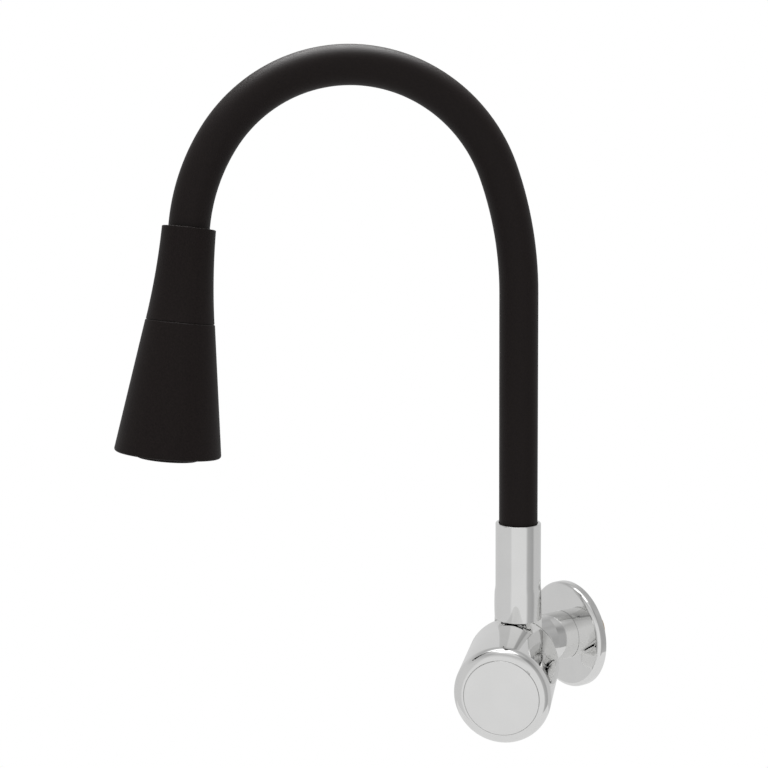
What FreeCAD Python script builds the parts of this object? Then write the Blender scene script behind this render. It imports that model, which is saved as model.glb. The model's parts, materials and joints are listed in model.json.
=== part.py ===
import FreeCAD, Part
import math
import os
import re

import Sketcher

from FreeCAD import Placement, Rotation, Vector

# Wall-mounted flexible tap, in millimetres. The origin is on the wall plane, on the inlet's axis.
# +Z is up and the tap stands out from the wall along -Y.

doc = FreeCAD.newDocument("flexible_tap")

# Driving dimensions, one named value each.
DIMENSIONS = {
    # Inlet thread and stem, along the inlet's axis
    "tube_out": 36.5,  # from the wall to the spout's axis
    "thread_r": 10.478,
    "thread_len": 16,  # part of the thread that goes into the wall
    "thread_in": 0.5,  # part of the thread that shows in front of the wall
    "relief_depth": 0.678,
    "relief_width": 1.5,
    "thread_chamfer": 1,
    "stem_r": 11.2,
    "boss_r": 12.9,
    "boss_back": 17.5,  # the boss starts this far behind the spout's axis
    "boss_round": 2,
    "inlet_r": 5.5,
    "inlet_in": 22.5,  # the inlet's bore ends this far in front of the wall
    "drill_r": 2.8,  # slanted drilling from the inlet's bore to the chamber
    # Wall flange, its seal and the sleeve on the stem
    "flange_r": 28,
    "flange_depth": 5.2,
    "flange_wall": 1.2,
    "flange_round": 2.2,
    "flange_seal_width": 4,
    "sleeve_wall": 1.15,
    "sleeve_start": 1,
    "slip_fit": 0.1,
    "loose_fit": 0.2,
    # Knob's place, and the barrel that it turns round
    "knob_angle": 45,  # the knob's axis is turned this far to the right, in degrees
    "knob_drop": 9.7,  # below the inlet's axis
    "knob_offset": 2.4,  # beside the spout's axis
    "barrel_gap": 2.7,  # between the barrel and the inside of the knob
    "barrel_taper": 2.5,
    "barrel_flare": 4,
    "barrel_round": 5,
    "barrel_rear": 13.6,  # behind the knob's rear rim
    "barrel_front": 16,
    "seat_back": 6,  # the seat plane lies this far behind the knob's rear rim
    "feed_chamber_r": 5,
    "feed_chamber_len": 5.8,
    "feed_aim": 9,  # the drilling meets the knob's axis this far behind the rim
    "disc_chamber_gap": 0.8,  # round the headwork's cage
    "disc_chamber_len": 12,
    # Neck and spigot under the spout
    "neck_r": 12.4,
    "seam_clear": 0.4,  # the spout's collar turns this far above the knob
    "seam_gap": 0.45,
    "rim_gap": 0.4,  # between the body and the knob
    "rim_inner_gap": 1.3,
    "spigot_gap": 0.6,  # between the spigot and the tube
    "spigot_top": 2.2,  # above the upper ring
    "spigot_bore": 5.6,
    "spigot_floor": 2,
    "spigot_chamfer": 0.8,
    "outlet_r": 3,
    "outlet_back": 4.2,
    "outlet_start": 3,  # the outlet's drilling starts this far below the inlet's axis
    "bush_low": 1.5,
    "bush_len": 7,
    "bush_depth": 0.8,
    "running_fit": 0.08,
    "bush_fit": 0.05,
    "track_low": 9.6,
    "track_width": 2,
    "track_depth": 1.2,
    "ring_low": 13,
    "ring_step": 4.4,
    "ring_groove": 2.4,
    "ring_wire": 0.9,
    # Spout tube with its collar
    "tube_height": 50.7,
    "tube_wall": 1.5,  # round the hose
    "tube_bore": 9.6,
    "lip_round": 0.6,
    "collar_foot_step": 0.4,
    "collar_step": 0.5,  # the collar is this much wider than the tube, all round
    "collar_swell": 140,  # radius of the collar's slightly swollen side
    "collar_height": 12.6,
    "step_rise": 5.3,
    "ledge_gap": 2,  # between the spigot and the ledge on which the hose's tail stands
    "ledge_thick": 6,
    "ledge_r": 8,
    "spout_angle": 21.5,  # the flexible arm points this far to the left of straight out, in degrees
    # Grub screw that holds the tube on the spigot
    "grub_r": 1.95,
    "grub_tip_r": 0.8,
    "grub_tip_len": 1.3,
    "grub_tip_gap": 0.25,
    "grub_sink": 0.1,
    "grub_key": 1.1,
    "grub_key_depth": 1.5,
    # Hose and its core
    "hose_r": 10,
    "hose_fit": 0.3,
    "sleeve_hose_wall": 2.1,
    "core_wall": 1.4,
    "core_gap": 0.2,
    "water_gap": 0.3,
    "water_bore": 4.2,
    "tail_seal_thick": 1,
    "tail_flange_thick": 2,
    "tail_barb_len": 13,
    "tail_bore": 3,
    "foot_shank_len": 5,
    "foot_shank_r": 7,
    # Arch of the hose
    "riser_len": 119.4,  # straight part above the spout tube
    "lean_r": 181,
    "lean_angle": 20,
    "crest_r": 79.7,
    "crest_angle": 70,
    "fall_r": 78.5,
    "fall_angle": 56.9,
    "drop_r": 98.7,
    "drop_angle": 26.5,
    "side_angle": 2.6,  # the falling half leans this far to the right, in degrees
    "drop_tail": 1.3,  # straight part in front of the head
    "hose_in_head": 16,
    # Spray head, measured along its axis from its top rim
    "head_top_r": 13,
    "head_top_round": 0.5,
    "head_seam_r": 16.5,
    "head_swell": 352,  # radius of the shell's hollow side
    "head_seam": 45.3,
    "head_wall": 2,
    "head_floor": 3,
    "head_cavity_r": 11.6,
    "head_shank_len": 12,
    "head_shank_r": 6.4,
    "nut_flats": 17,
    "nut_len": 5,
    "washer_thick": 1.5,
    # Core on which the bell turns
    "core_hub_r": 9.5,
    "core_hub_len": 6,
    "nut_gap": 1,  # between the nut and the core
    "plate_gap": 0.23,  # between the core's plate and the shell
    "core_plate_thick": 3,
    "core_journal_r": 11,
    "core_groove_depth": 0.8,
    "core_tip_step": 2,
    "core_tip_len": 6.5,
    "core_ring_low": 1.8,
    "core_ring_wire": 0.85,
    "clip_thick": 1.1,
    "clip_width": 2.4,
    "clip_gap": 5,
    "clip_step": 0.25,
    "clip_land": 1,
    # Bell
    "bell_top_r": 16.8,
    "bell_rim_r": 25.7,
    "bell_end": 110,
    "seam_width": 0.4,
    "bell_wall": 2,
    "bell_top_thick": 3.3,
    "bell_hub_wall": 2.5,
    "bell_hub_len": 11.3,
    "bell_chamfer": 0.3,
    "bell_rim_round": 1.2,
    # Water ways in the bell
    "cup_wall": 2.1,
    "cup_floor": 2,
    "cup_gap": 0.5,
    "mode_disc_thick": 0.8,
    "disc_gap": 0.05,
    "mode_hole_r": 3.5,
    "mode_port_r": 1.3,
    "mode_port_edge": 2.2,  # from the ports' centres to the edge of the core's tip
    "skirt_wall": 1.5,
    "skirt_rim": 1.3,
    "skirt_gap": 0.2,  # between the skirt's flange and the bell
    "skirt_flange_thick": 3,
    "face_thick": 3.8,
    "face_sink": 1.2,
    "face_gap": 0.3,
    "nozzle_mat": 1.1,
    "nozzle_r": 0.9,
    "nozzle_out": 0.9,
    "nozzle_edge": 1.9,  # from the outer ring of nozzles to the skirt
    "nozzle_ring_step": 2.8,
    "nozzle_count_in": 24,
    "nozzle_count_out": 30,
    "stream_wall": 1.2,
    "stream_top_len": 6,
    "stream_room": 7.3,  # straight part of the stream tube behind the aerator
    "stream_gap": 1.5,  # between the stream tube and the nozzles' mat
    "aerator_rim": 2.3,  # the aerator's head is this much wider than its shank, all round
    "aerator_out": 2.3,
    "aerator_shank_len": 5,
    "aerator_wall": 1.5,
    "aerator_lip": 0.6,
    "aerator_round": 0.5,
    "aerator_sink": 1,
    "aerator_hole_r": 0.6,
    "aerator_hole_step": 2.2,
    "aerator_rings": 4,
    # Knob
    "knob_r": 24,
    "knob_len": 53,
    "knob_wall": 2.8,
    "knob_rear_round": 0.8,
    "knob_front_round": 5.3,
    "web_back": 13,  # the knob's web starts this far behind its front
    "web_thick": 3,
    "hub_bore": 7,
    "hub_wall": 2.5,
    "hub_gap": 0.6,  # between the spindle's clip and the hub
    "cap_land": 0.1,  # flat ring between the knob's round edge and the cap's recess
    "cap_gap": 0.2,
    "cap_recess": 3,
    "cap_sink": 0.1,
    "cap_round": 0.3,
    "cap_snap_step": 1.9,
    "cap_snap_wall": 1.5,
    "cap_snap_len": 3.5,
    "notch_r": 1.3,
    "notch_angle": 46,
    "notch_depth": 1.4,
    "insert_gap": 0.05,
    # Headwork, measured along the knob's axis from the seat plane
    "seat_seal_thick": 1.6,
    "seat_seal_r": 8,
    "cage_wall": 1.2,
    "window_width": 8,
    "window_len": 5,
    "disc_r": 7.5,
    "disc_thick": 2.8,
    "port_r": 2.2,
    "port_at": 4,
    "headwork_thread_r": 10.45,
    "headwork_washer_r": 12.5,
    "headwork_washer_thick": 1,
    "hex_flats": 19,
    "hex_len": 6,
    "nose_r": 6.9,
    "nose_len": 5,
    "foot_step": 0.3,  # the spindle's foot is this much smaller than the discs, all round
    "spindle_foot_thick": 2.6,
    "spindle_r": 4.9,
    "spline_r": 3.9,
    "spline_groove": 0.35,
    "spline_count": 20,
    "stem_ring_at": 10,  # the spindle's ring lies this far in front of its foot
    "stem_ring_wire": 0.55,
    "stem_ring_width": 1.5,
    "stem_clip_step": 0.2,
    "stem_clip_width": 1.8,
    "stem_clip_gap": 4,
    "stem_clip_thick": 0.8,
    "screw_r": 2.4,
    "screw_len": 10,
    "screw_head_r": 4.5,
    "screw_head_len": 3,
    "screw_key": 2.3,
    "screw_key_depth": 2,
    # How far a cut goes on past the face through which it leaves the piece
    "overrun": 1,
}

sizes = doc.addObject("Spreadsheet::Sheet", "Sizes")
for row, (alias, dimension) in enumerate(DIMENSIONS.items(), start=1):
    sizes.set(f"A{row}", alias)
    sizes.set(f"B{row}", str(dimension))
    sizes.setAlias(f"B{row}", alias)
doc.recompute()

parts = {}

# Sizes that follow from the driving ones
RELIEF_R = "(thread_r - relief_depth)"
SEAM_HEIGHT = "(knob_r - knob_drop + seam_clear)"
BARREL_R = "(knob_r - knob_wall - barrel_gap)"
CAGE_BORE = "(disc_r + slip_fit)"
CAGE_R = "(disc_r + slip_fit + cage_wall)"
CHAMBER_R = "(disc_r + slip_fit + cage_wall + disc_chamber_gap)"
FOOT_R = "(disc_r - foot_step)"
STEM_CLIP_SEAT = "(spline_r + stem_clip_step)"
SCREW_HOLE_R = "(screw_r + slip_fit)"
WEB_START = "(knob_len - web_back)"
CAP_R = "(knob_r - knob_front_round - cap_land - cap_gap)"
CAP_SNAP_R = "(knob_r - knob_front_round - cap_land - cap_gap - cap_snap_step)"
SPIGOT_R = "(tube_bore - spigot_gap)"
SPIGOT_LEN = "(ring_low + ring_step + ring_groove + spigot_top)"
BUSH_SEAT_R = "(tube_bore - spigot_gap - bush_depth)"
TRACK_R = "(tube_bore - spigot_gap - track_depth)"
RING_SEAT_R = "(tube_bore - 2 * running_fit - 2 * ring_wire)"
TUBE_R = "(hose_r + hose_fit + tube_wall)"
COLLAR_R = "(hose_r + hose_fit + tube_wall + collar_step)"
COLLAR_FOOT_R = "(hose_r + hose_fit + tube_wall + collar_foot_step)"
LEDGE_LOW = "(" + SPIGOT_LEN + " + ledge_gap)"
SOCKET_FLOOR = "(" + LEDGE_LOW + " + ledge_thick)"
CORE_R = "(hose_r - sleeve_hose_wall - core_gap)"
WATER_R = "(hose_r - sleeve_hose_wall - core_gap - core_wall - water_gap)"
CORE_TIP_R = "(core_journal_r - core_tip_step)"
CORE_GROOVE_R = "(core_journal_r - core_groove_depth)"


# Helpers that read the sheet
def bound(text):
    """The expression with each size named as the sheet names it."""
    return re.sub(r"[a-z][a-z_]*", lambda word: word_in_sheet(word.group()), text)


def word_in_sheet(word):
    return "Sizes." + word if word in DIMENSIONS else word


def value(text):
    return float(sizes.evalExpression(bound(text)))


# Helpers that build
def arc_middle(start, end, radius, side):
    """Middle point of an arc that bulges to the left (side 1) or the right (side -1) of its chord."""
    chord = end - start
    sagitta = radius - math.sqrt(radius**2 - (chord.Length / 2) ** 2)
    outward = Vector(-chord.y, chord.x, 0) * (side / chord.Length)
    return (start + end) / 2 + outward * sagitta


def turned(name, outline):
    """A body turned about its own Z axis. Each corner is (radius, height), and a corner that starts
    an arc also has the arc's radius and the side of the chord to which it bulges."""
    body = doc.addObject("PartDesign::Body", name)
    sketch = body.newObject("Sketcher::SketchObject", name + "_outline")
    plane = [item for item in body.Origin.OriginFeatures if item.Role == "XZ_Plane"][0]
    sketch.AttachmentSupport = [(plane, "")]
    sketch.MapMode = "FlatFace"
    corners = [Vector(value(corner[0]), value(corner[1]), 0) for corner in outline]
    ends = []
    for index, corner in enumerate(outline):
        start = corners[index]
        end = corners[(index + 1) % len(corners)]
        if len(corner) == 2:
            edge = sketch.addGeometry(Part.LineSegment(start, end), False)
        else:
            middle = arc_middle(start, end, value(corner[2]), corner[3])
            edge = sketch.addGeometry(Part.Arc(start, middle, end), False)
        at_start = 1 if (sketch.getPoint(edge, 1) - start).Length < 1e-6 else 2
        ends.append((edge, at_start, 3 - at_start))
    for index, corner in enumerate(outline):
        edge, first, last = ends[index]
        following, following_first, _ = ends[(index + 1) % len(ends)]
        sketch.addConstraint(Sketcher.Constraint("Coincident", edge, last, following, following_first))
        for kind, axis, text in (("DistanceX", -2, corner[0]), ("DistanceY", -1, corner[1])):
            if text == "0":
                sketch.addConstraint(Sketcher.Constraint("PointOnObject", edge, first, axis))
            else:
                number = sketch.addConstraint(Sketcher.Constraint(kind, -1, 1, edge, first, value(text)))
                sketch.setExpression(f"Constraints[{number}]", bound(text))
        if len(corner) > 2:
            number = sketch.addConstraint(Sketcher.Constraint("Radius", edge, value(corner[2])))
            sketch.setExpression(f"Constraints[{number}]", bound(corner[2]))
    turn = body.newObject("PartDesign::Revolution", name + "_turn")
    turn.Profile = sketch
    turn.ReferenceAxis = (sketch, ["V_Axis"])
    turn.Angle = 360
    sketch.Visibility = False
    return body


def primitive(kind, name, placement, **texts):
    """A simple solid whose sizes are bound to the sheet."""
    piece = doc.addObject("Part::" + kind, name)
    for size, text in texts.items():
        piece.setExpression(size, bound(text))
    piece.Placement = placement
    return piece


def joined(name, pieces):
    union = doc.addObject("Part::MultiFuse", name)
    union.Shapes = pieces
    return union


def cut(name, base, tool):
    result = doc.addObject("Part::Cut", name)
    result.Base = base
    result.Tool = tool
    return result


def keep(label, piece, placement):
    """Names a finished sub-part and puts it in its place."""
    piece.Label = label
    piece.Placement = placement
    parts[label] = piece


def shifted(frame, text):
    """The frame moved along its own Z axis."""
    return frame.multiply(Placement(Vector(0, 0, value(text)), Rotation()))


def around(text_radius, text_height, angle):
    """A place at a radius, a height and an angle in degrees about Z."""
    turn = Rotation(Vector(0, 0, 1), angle)
    return Placement(turn.multVec(Vector(value(text_radius), 0, value(text_height))), turn)


# The frames: local +Z points out of the wall, along the knob's axis, up the spout and down the head
wall_frame = Placement(Vector(), Rotation(Vector(1, 0, 0), 90))

swing = math.radians(value("knob_angle"))
knob_rotation = Rotation(Vector(0, 0, 1), value("knob_angle")).multiply(wall_frame.Rotation)
knob_place = Vector(
    -value("knob_offset") * math.cos(swing),
    -value("tube_out") - value("knob_offset") * math.sin(swing),
    -value("knob_drop"),
)
knob_frame = Placement(knob_place, knob_rotation)
seat_frame = shifted(knob_frame, "-seat_back")

spout_place = Vector(0, -value("tube_out"), value(SEAM_HEIGHT))
spout_frame = Placement(spout_place, Rotation(Vector(0, 0, 1), -value("spout_angle")))


# Centre line of the hose, in the spout's frame
def turn_path(point, heading, side, radius, angle):
    """One arc of the path, from the point towards the side, and the state after it."""
    axis = heading.cross(side)
    centre = point + side * radius
    middle = centre + Rotation(axis, angle / 2).multVec(side * -radius)
    end = centre + Rotation(axis, angle).multVec(side * -radius)
    turn = Rotation(axis, angle)
    arc = Part.Arc(point, middle, end).toShape()
    return arc, end, turn.multVec(heading), turn.multVec(side)


HOSE_FOOT = SOCKET_FLOOR + " + tail_seal_thick + tail_flange_thick"

point = Vector(0, 0, value("tube_height + riser_len"))
heading = Vector(0, 0, 1)
side = Vector(0, -1, 0)
path = [Part.LineSegment(Vector(0, 0, value(HOSE_FOOT)), point).toShape()]
for stretch in ("lean", "crest", "fall", "drop"):
    if stretch == "fall":
        arch_top = point
        side = Rotation(heading, value("side_angle")).multVec(side)
    arc, point, heading, side = turn_path(
        point, heading, side, value(stretch + "_r"), value(stretch + "_angle")
    )
    path.append(arc)
head_point = point + heading * value("drop_tail")
hose_end = head_point + heading * value("hose_in_head")
path.append(Part.LineSegment(point, hose_end).toShape())
hose_wire = Part.Wire(path)
print("hose length", round(hose_wire.Length, 2), "arch top", spout_frame.multVec(arch_top))
for stretch in ("lean", "crest", "fall", "drop"):
    print("hose radius", stretch, value(stretch + "_r"))

head_rotation = Rotation(heading.cross(side), side, heading, "ZXY")
head_frame = spout_frame.multiply(Placement(head_point, head_rotation))
print("head frame", head_frame, "axis", head_frame.Rotation.multVec(Vector(0, 0, 1)))


def hose_solid(radius):
    """A round solid along the hose's centre line."""
    ring = Part.Edge(Part.Circle(Vector(0, 0, value(HOSE_FOOT)), Vector(0, 0, 1), radius))
    solid = Part.Wire(path).makePipeShell([Part.Wire([ring])], True, False)
    expected = math.pi * radius**2 * hose_wire.Length
    print("hose volume over section times length", round(solid.Volume / expected, 5))
    return solid


def hose_layer(label, outer, inner):
    """One layer of the hose, from the tail in the spout tube to the tail in the head."""
    layer = doc.addObject("Part::Feature", label)
    layer.Shape = hose_solid(value(outer)).cut(hose_solid(value(inner)))
    keep(label, layer, spout_frame)


# Valve body: stem with its thread, boss, barrel, neck and spigot
stem = turned(
    "valve_stem",
    [
        ("0", "0"),
        ("thread_r - thread_chamfer", "0"),
        ("thread_r", "thread_chamfer"),
        ("thread_r", "thread_len + thread_in"),
        (RELIEF_R, "thread_len + thread_in"),
        (RELIEF_R, "thread_len + thread_in + relief_width"),
        ("stem_r", "thread_len + thread_in + relief_width"),
        ("stem_r", "thread_len + tube_out - boss_back"),
        ("boss_r", "thread_len + tube_out - boss_back"),
        ("boss_r", "thread_len + tube_out - boss_round", "boss_round", -1),
        ("boss_r - boss_round", "thread_len + tube_out"),
        ("0", "thread_len + tube_out"),
    ],
)
stem.Placement = shifted(wall_frame, "-thread_len")

barrel = turned(
    "valve_barrel",
    [
        ("0", "0"),
        (BARREL_R + " - barrel_taper - barrel_round", "0", "barrel_round", -1),
        (BARREL_R + " - barrel_taper", "barrel_round"),
        (BARREL_R, "barrel_round + barrel_flare"),
        (BARREL_R, "barrel_rear + barrel_front"),
        ("0", "barrel_rear + barrel_front"),
    ],
)
barrel.Placement = shifted(knob_frame, "-barrel_rear")

neck_base = Vector(0, -value("tube_out"), -value("knob_drop"))
neck_round = primitive(
    "Cylinder",
    "neck_round",
    Placement(neck_base, Rotation()),
    Radius="neck_r",
    Height="knob_drop - seam_gap + " + SEAM_HEIGHT,
)
front_half = primitive(
    "Box",
    "neck_front_half",
    knob_frame.multiply(Placement(Vector(-value("knob_r"), 0, -value("rim_gap")), Rotation())),
    Length="2 * knob_r",
    Width="2 * knob_r",
    Height="knob_r",
)
neck = cut("valve_neck", neck_round, front_half)

SPIGOT_RINGS = ("seam_gap + ring_low", "seam_gap + ring_low + ring_step")

spigot_outline = [
    ("0", "0"),
    (SPIGOT_R, "0"),
    (SPIGOT_R, "seam_gap + bush_low"),
    (BUSH_SEAT_R, "seam_gap + bush_low"),
    (BUSH_SEAT_R, "seam_gap + bush_low + bush_len"),
    (SPIGOT_R, "seam_gap + bush_low + bush_len"),
    (SPIGOT_R, "seam_gap + track_low"),
    (TRACK_R, "seam_gap + track_low"),
    (TRACK_R, "seam_gap + track_low + track_width"),
    (SPIGOT_R, "seam_gap + track_low + track_width"),
]
for groove in SPIGOT_RINGS:
    spigot_outline += [
        (SPIGOT_R, groove),
        (RING_SEAT_R, groove),
        (RING_SEAT_R, groove + " + ring_groove"),
        (SPIGOT_R, groove + " + ring_groove"),
    ]
spigot_outline += [
    (SPIGOT_R, "seam_gap - spigot_chamfer + " + SPIGOT_LEN),
    (SPIGOT_R + " - spigot_chamfer", "seam_gap + " + SPIGOT_LEN),
    ("0", "seam_gap + " + SPIGOT_LEN),
]
spigot = turned("valve_spigot", spigot_outline)
spigot.Placement = shifted(spout_frame, "-seam_gap")

knob_room = turned(
    "knob_room",
    [
        ("knob_r - knob_wall - rim_inner_gap", "0"),
        ("knob_r + rim_gap", "0"),
        ("knob_r + rim_gap", "knob_len"),
        ("knob_r - knob_wall - rim_inner_gap", "knob_len"),
    ],
)
knob_room.Placement = shifted(knob_frame, "-rim_gap")

chambers = turned(
    "valve_chambers",
    [
        ("0", "0"),
        ("feed_chamber_r", "0"),
        ("feed_chamber_r", "feed_chamber_len"),
        (CHAMBER_R, "feed_chamber_len"),
        (CHAMBER_R, "feed_chamber_len + disc_chamber_len"),
        ("headwork_thread_r + slip_fit", "feed_chamber_len + disc_chamber_len"),
        ("headwork_thread_r + slip_fit", "feed_chamber_len + seat_back + barrel_front + overrun"),
        ("0", "feed_chamber_len + seat_back + barrel_front + overrun"),
    ],
)
chambers.Placement = shifted(seat_frame, "-feed_chamber_len")

inlet_bore = primitive(
    "Cylinder",
    "inlet_bore",
    shifted(wall_frame, "-thread_len - overrun"),
    Radius="inlet_r",
    Height="thread_len + overrun + inlet_in",
)
drill_start = Vector(0, -value("inlet_in"), 0)
drill_aim = knob_frame.multVec(Vector(0, 0, -value("feed_aim")))
drill_line = drill_aim - drill_start
drilling = primitive(
    "Cylinder",
    "slanted_drilling",
    Placement(drill_start, Rotation(Vector(0, 0, 1), drill_line)),
    Radius="drill_r",
)
drilling.Height = drill_line.Length

outlet_place = knob_rotation.multVec(Vector(0, 0, -value("outlet_back")))
outlet_place += Vector(0, -value("tube_out"), -value("outlet_start"))
outlet_bore = primitive(
    "Cylinder",
    "outlet_bore",
    Placement(outlet_place, Rotation()),
    Radius="outlet_r",
    Height="outlet_start + spigot_floor + overrun + " + SEAM_HEIGHT,
)
spigot_bore = primitive(
    "Cylinder",
    "spigot_bore",
    shifted(spout_frame, "spigot_floor"),
    Radius="spigot_bore",
    Height=SPIGOT_LEN,
)

valve_outside = cut("valve_outside", joined("valve_blank", [stem, barrel, neck, spigot]), knob_room)
water_ways = joined("water_ways", [chambers, inlet_bore, drilling, outlet_bore, spigot_bore])
keep("valve_body", cut("valve_body", valve_outside, water_ways), Placement())

# Cover flange, its seal and the sleeve over the stem
keep(
    "wall_flange",
    turned(
        "wall_flange",
        [
            ("stem_r + loose_fit + sleeve_wall + slip_fit", "flange_depth - flange_wall"),
            ("stem_r + loose_fit + sleeve_wall + slip_fit", "flange_depth"),
            ("flange_r - flange_round", "flange_depth", "flange_round", 1),
            ("flange_r", "flange_depth - flange_round"),
            ("flange_r", "0"),
            ("flange_r - flange_wall", "0"),
            ("flange_r - flange_wall", "flange_depth - flange_round", "flange_round - flange_wall", -1),
            ("flange_r - flange_round", "flange_depth - flange_wall"),
        ],
    ),
    wall_frame,
)
keep(
    "flange_seal",
    turned(
        "flange_seal",
        [
            ("flange_r - flange_round - loose_fit - flange_seal_width", "0"),
            ("flange_r - flange_round - loose_fit", "0"),
            ("flange_r - flange_round - loose_fit", "flange_depth - flange_wall"),
            ("flange_r - flange_round - loose_fit - flange_seal_width", "flange_depth - flange_wall"),
        ],
    ),
    wall_frame,
)
keep(
    "stem_sleeve",
    turned(
        "stem_sleeve",
        [
            ("stem_r + loose_fit", "0"),
            ("stem_r + loose_fit + sleeve_wall", "0"),
            ("stem_r + loose_fit + sleeve_wall", "tube_out - boss_back - sleeve_start"),
            ("stem_r + loose_fit", "tube_out - boss_back - sleeve_start"),
        ],
    ),
    shifted(wall_frame, "sleeve_start"),
)

# Bush and rings on the spigot
keep(
    "swivel_bush",
    turned(
        "swivel_bush",
        [
            (BUSH_SEAT_R + " + bush_fit", "slip_fit"),
            ("tube_bore - running_fit", "slip_fit"),
            ("tube_bore - running_fit", "bush_len - slip_fit"),
            (BUSH_SEAT_R + " + bush_fit", "bush_len - slip_fit"),
        ],
    ),
    shifted(spout_frame, "bush_low"),
)
spigot_rings = []
for index, groove in enumerate(SPIGOT_RINGS):
    spigot_rings.append(
        primitive(
            "Torus",
            f"spigot_ring_{index}",
            shifted(spout_frame, groove + " - seam_gap + ring_groove / 2"),
            Radius1="tube_bore - running_fit - ring_wire",
            Radius2="ring_wire",
        )
    )
ring_pair = doc.addObject("Part::Compound", "spigot_o_rings")
ring_pair.Links = spigot_rings
keep("spigot_o_rings", ring_pair, Placement())

# Headwork: seal, discs and body
CAGE_START = "seat_seal_thick"
THREAD_START = "disc_chamber_len"
FACE_AT = "seat_back + barrel_front"
HEX_START = FACE_AT + " + headwork_washer_thick"
NOSE_START = HEX_START + " + hex_len"
NOSE_END = NOSE_START + " + nose_len"
FOOT_START = "seat_seal_thick + 2 * disc_thick + 2 * disc_gap"
FOOT_END = FOOT_START + " + spindle_foot_thick"
WEB_AT = "seat_back + " + WEB_START
HUB_START = NOSE_END + " + slip_fit + stem_clip_thick + hub_gap"

keep(
    "seat_seal",
    turned(
        "seat_seal",
        [
            ("feed_chamber_r", "0"),
            ("seat_seal_r", "0"),
            ("seat_seal_r", "seat_seal_thick"),
            ("feed_chamber_r", "seat_seal_thick"),
        ],
    ),
    seat_frame,
)


def ceramic_disc(label, start, turn):
    """A ceramic disc with two round ports."""
    disc = primitive("Cylinder", label + "_blank", Placement(), Radius="disc_r", Height="disc_thick")
    ports = []
    for angle in (0, 180):
        port = primitive(
            "Cylinder",
            f"{label}_port_{angle}",
            around("port_at", "-disc_thick / 2", angle + turn),
            Radius="port_r",
            Height="2 * disc_thick",
        )
        ports.append(port)
    keep(label, cut(label, disc, joined(label + "_ports", ports)), shifted(seat_frame, start))


ceramic_disc("fixed_disc", CAGE_START, 0)
ceramic_disc("turning_disc", CAGE_START + " + disc_thick + disc_gap", 90)

headwork_round = turned(
    "headwork_round",
    [
        (CAGE_BORE, CAGE_START),
        (CAGE_R, CAGE_START),
        (CAGE_R, THREAD_START),
        ("headwork_thread_r", THREAD_START),
        ("headwork_thread_r", HEX_START),
        ("nose_r", HEX_START),
        ("nose_r", NOSE_END),
        ("spindle_r + slip_fit", NOSE_END),
        ("spindle_r + slip_fit", FOOT_END + " + disc_gap"),
        (CAGE_BORE, FOOT_END + " + disc_gap"),
    ],
)
hexagon = primitive(
    "Prism",
    "headwork_hexagon",
    Placement(Vector(0, 0, value(HEX_START)), Rotation()),
    Circumradius="hex_flats / 2 / cos(30)",
    Height="hex_len",
)
hexagon.Polygon = 6
hexagon_bore = primitive(
    "Cylinder",
    "headwork_hexagon_bore",
    Placement(Vector(0, 0, value(HEX_START)), Rotation()),
    Radius="spindle_r + slip_fit",
    Height="hex_len",
)
headwork_blank = joined("headwork_blank", [headwork_round, cut("headwork_nut", hexagon, hexagon_bore)])
window = primitive(
    "Box",
    "headwork_windows",
    Placement(
        Vector(-value(CAGE_R) * 2, -value("window_width / 2"), value(CAGE_START + " + disc_thick")),
        Rotation(),
    ),
    Length="4 * " + CAGE_R,
    Width="window_width",
    Height="window_len",
)
keep("headwork_body", cut("headwork_body", headwork_blank, window), seat_frame)
keep(
    "headwork_washer",
    turned(
        "headwork_washer",
        [
            ("headwork_thread_r + slip_fit", "0"),
            ("headwork_washer_r", "0"),
            ("headwork_washer_r", "headwork_washer_thick"),
            ("headwork_thread_r + slip_fit", "headwork_washer_thick"),
        ],
    ),
    shifted(knob_frame, "barrel_front"),
)

# Spindle with its spline, ring and clip
RING_LOW = "spindle_foot_thick + stem_ring_at"
SPINDLE_END = WEB_AT + " - (" + FOOT_START + ")"
CLIP_LOW = NOSE_END + " + slip_fit - (" + FOOT_START + ")"
spindle_round = turned(
    "spindle_round",
    [
        ("0", "0"),
        (FOOT_R, "0"),
        (FOOT_R, "spindle_foot_thick"),
        ("spindle_r", "spindle_foot_thick"),
        ("spindle_r", RING_LOW),
        ("spindle_r - 2 * stem_ring_wire", RING_LOW),
        ("spindle_r - 2 * stem_ring_wire", RING_LOW + " + stem_ring_width"),
        ("spindle_r", RING_LOW + " + stem_ring_width"),
        ("spindle_r", CLIP_LOW),
        (STEM_CLIP_SEAT, CLIP_LOW),
        (STEM_CLIP_SEAT, CLIP_LOW + " + stem_clip_thick"),
        ("spline_r", CLIP_LOW + " + stem_clip_thick"),
        ("spline_r", SPINDLE_END),
        (SCREW_HOLE_R, SPINDLE_END),
        (SCREW_HOLE_R, SPINDLE_END + " - screw_len"),
        ("0", SPINDLE_END + " - screw_len"),
    ],
)
spline_grooves = []
for index in range(int(value("spline_count"))):
    spline_grooves.append(
        primitive(
            "Cylinder",
            f"spline_groove_{index}",
            around("spline_r", HUB_START + " - (" + FOOT_START + ")", index * 360 / value("spline_count")),
            Radius="spline_groove",
            Height=WEB_AT + " - (" + HUB_START + ") + overrun",
        )
    )
spindle = cut("spindle", spindle_round, joined("spline_grooves", spline_grooves))
keep("spindle", spindle, shifted(seat_frame, FOOT_START))
keep(
    "spindle_o_ring",
    primitive(
        "Torus",
        "spindle_o_ring",
        Placement(),
        Radius1="spindle_r + slip_fit / 2 - stem_ring_wire",
        Radius2="stem_ring_wire",
    ),
    shifted(seat_frame, FOOT_START + " + " + RING_LOW + " + stem_ring_width / 2"),
)


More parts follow.
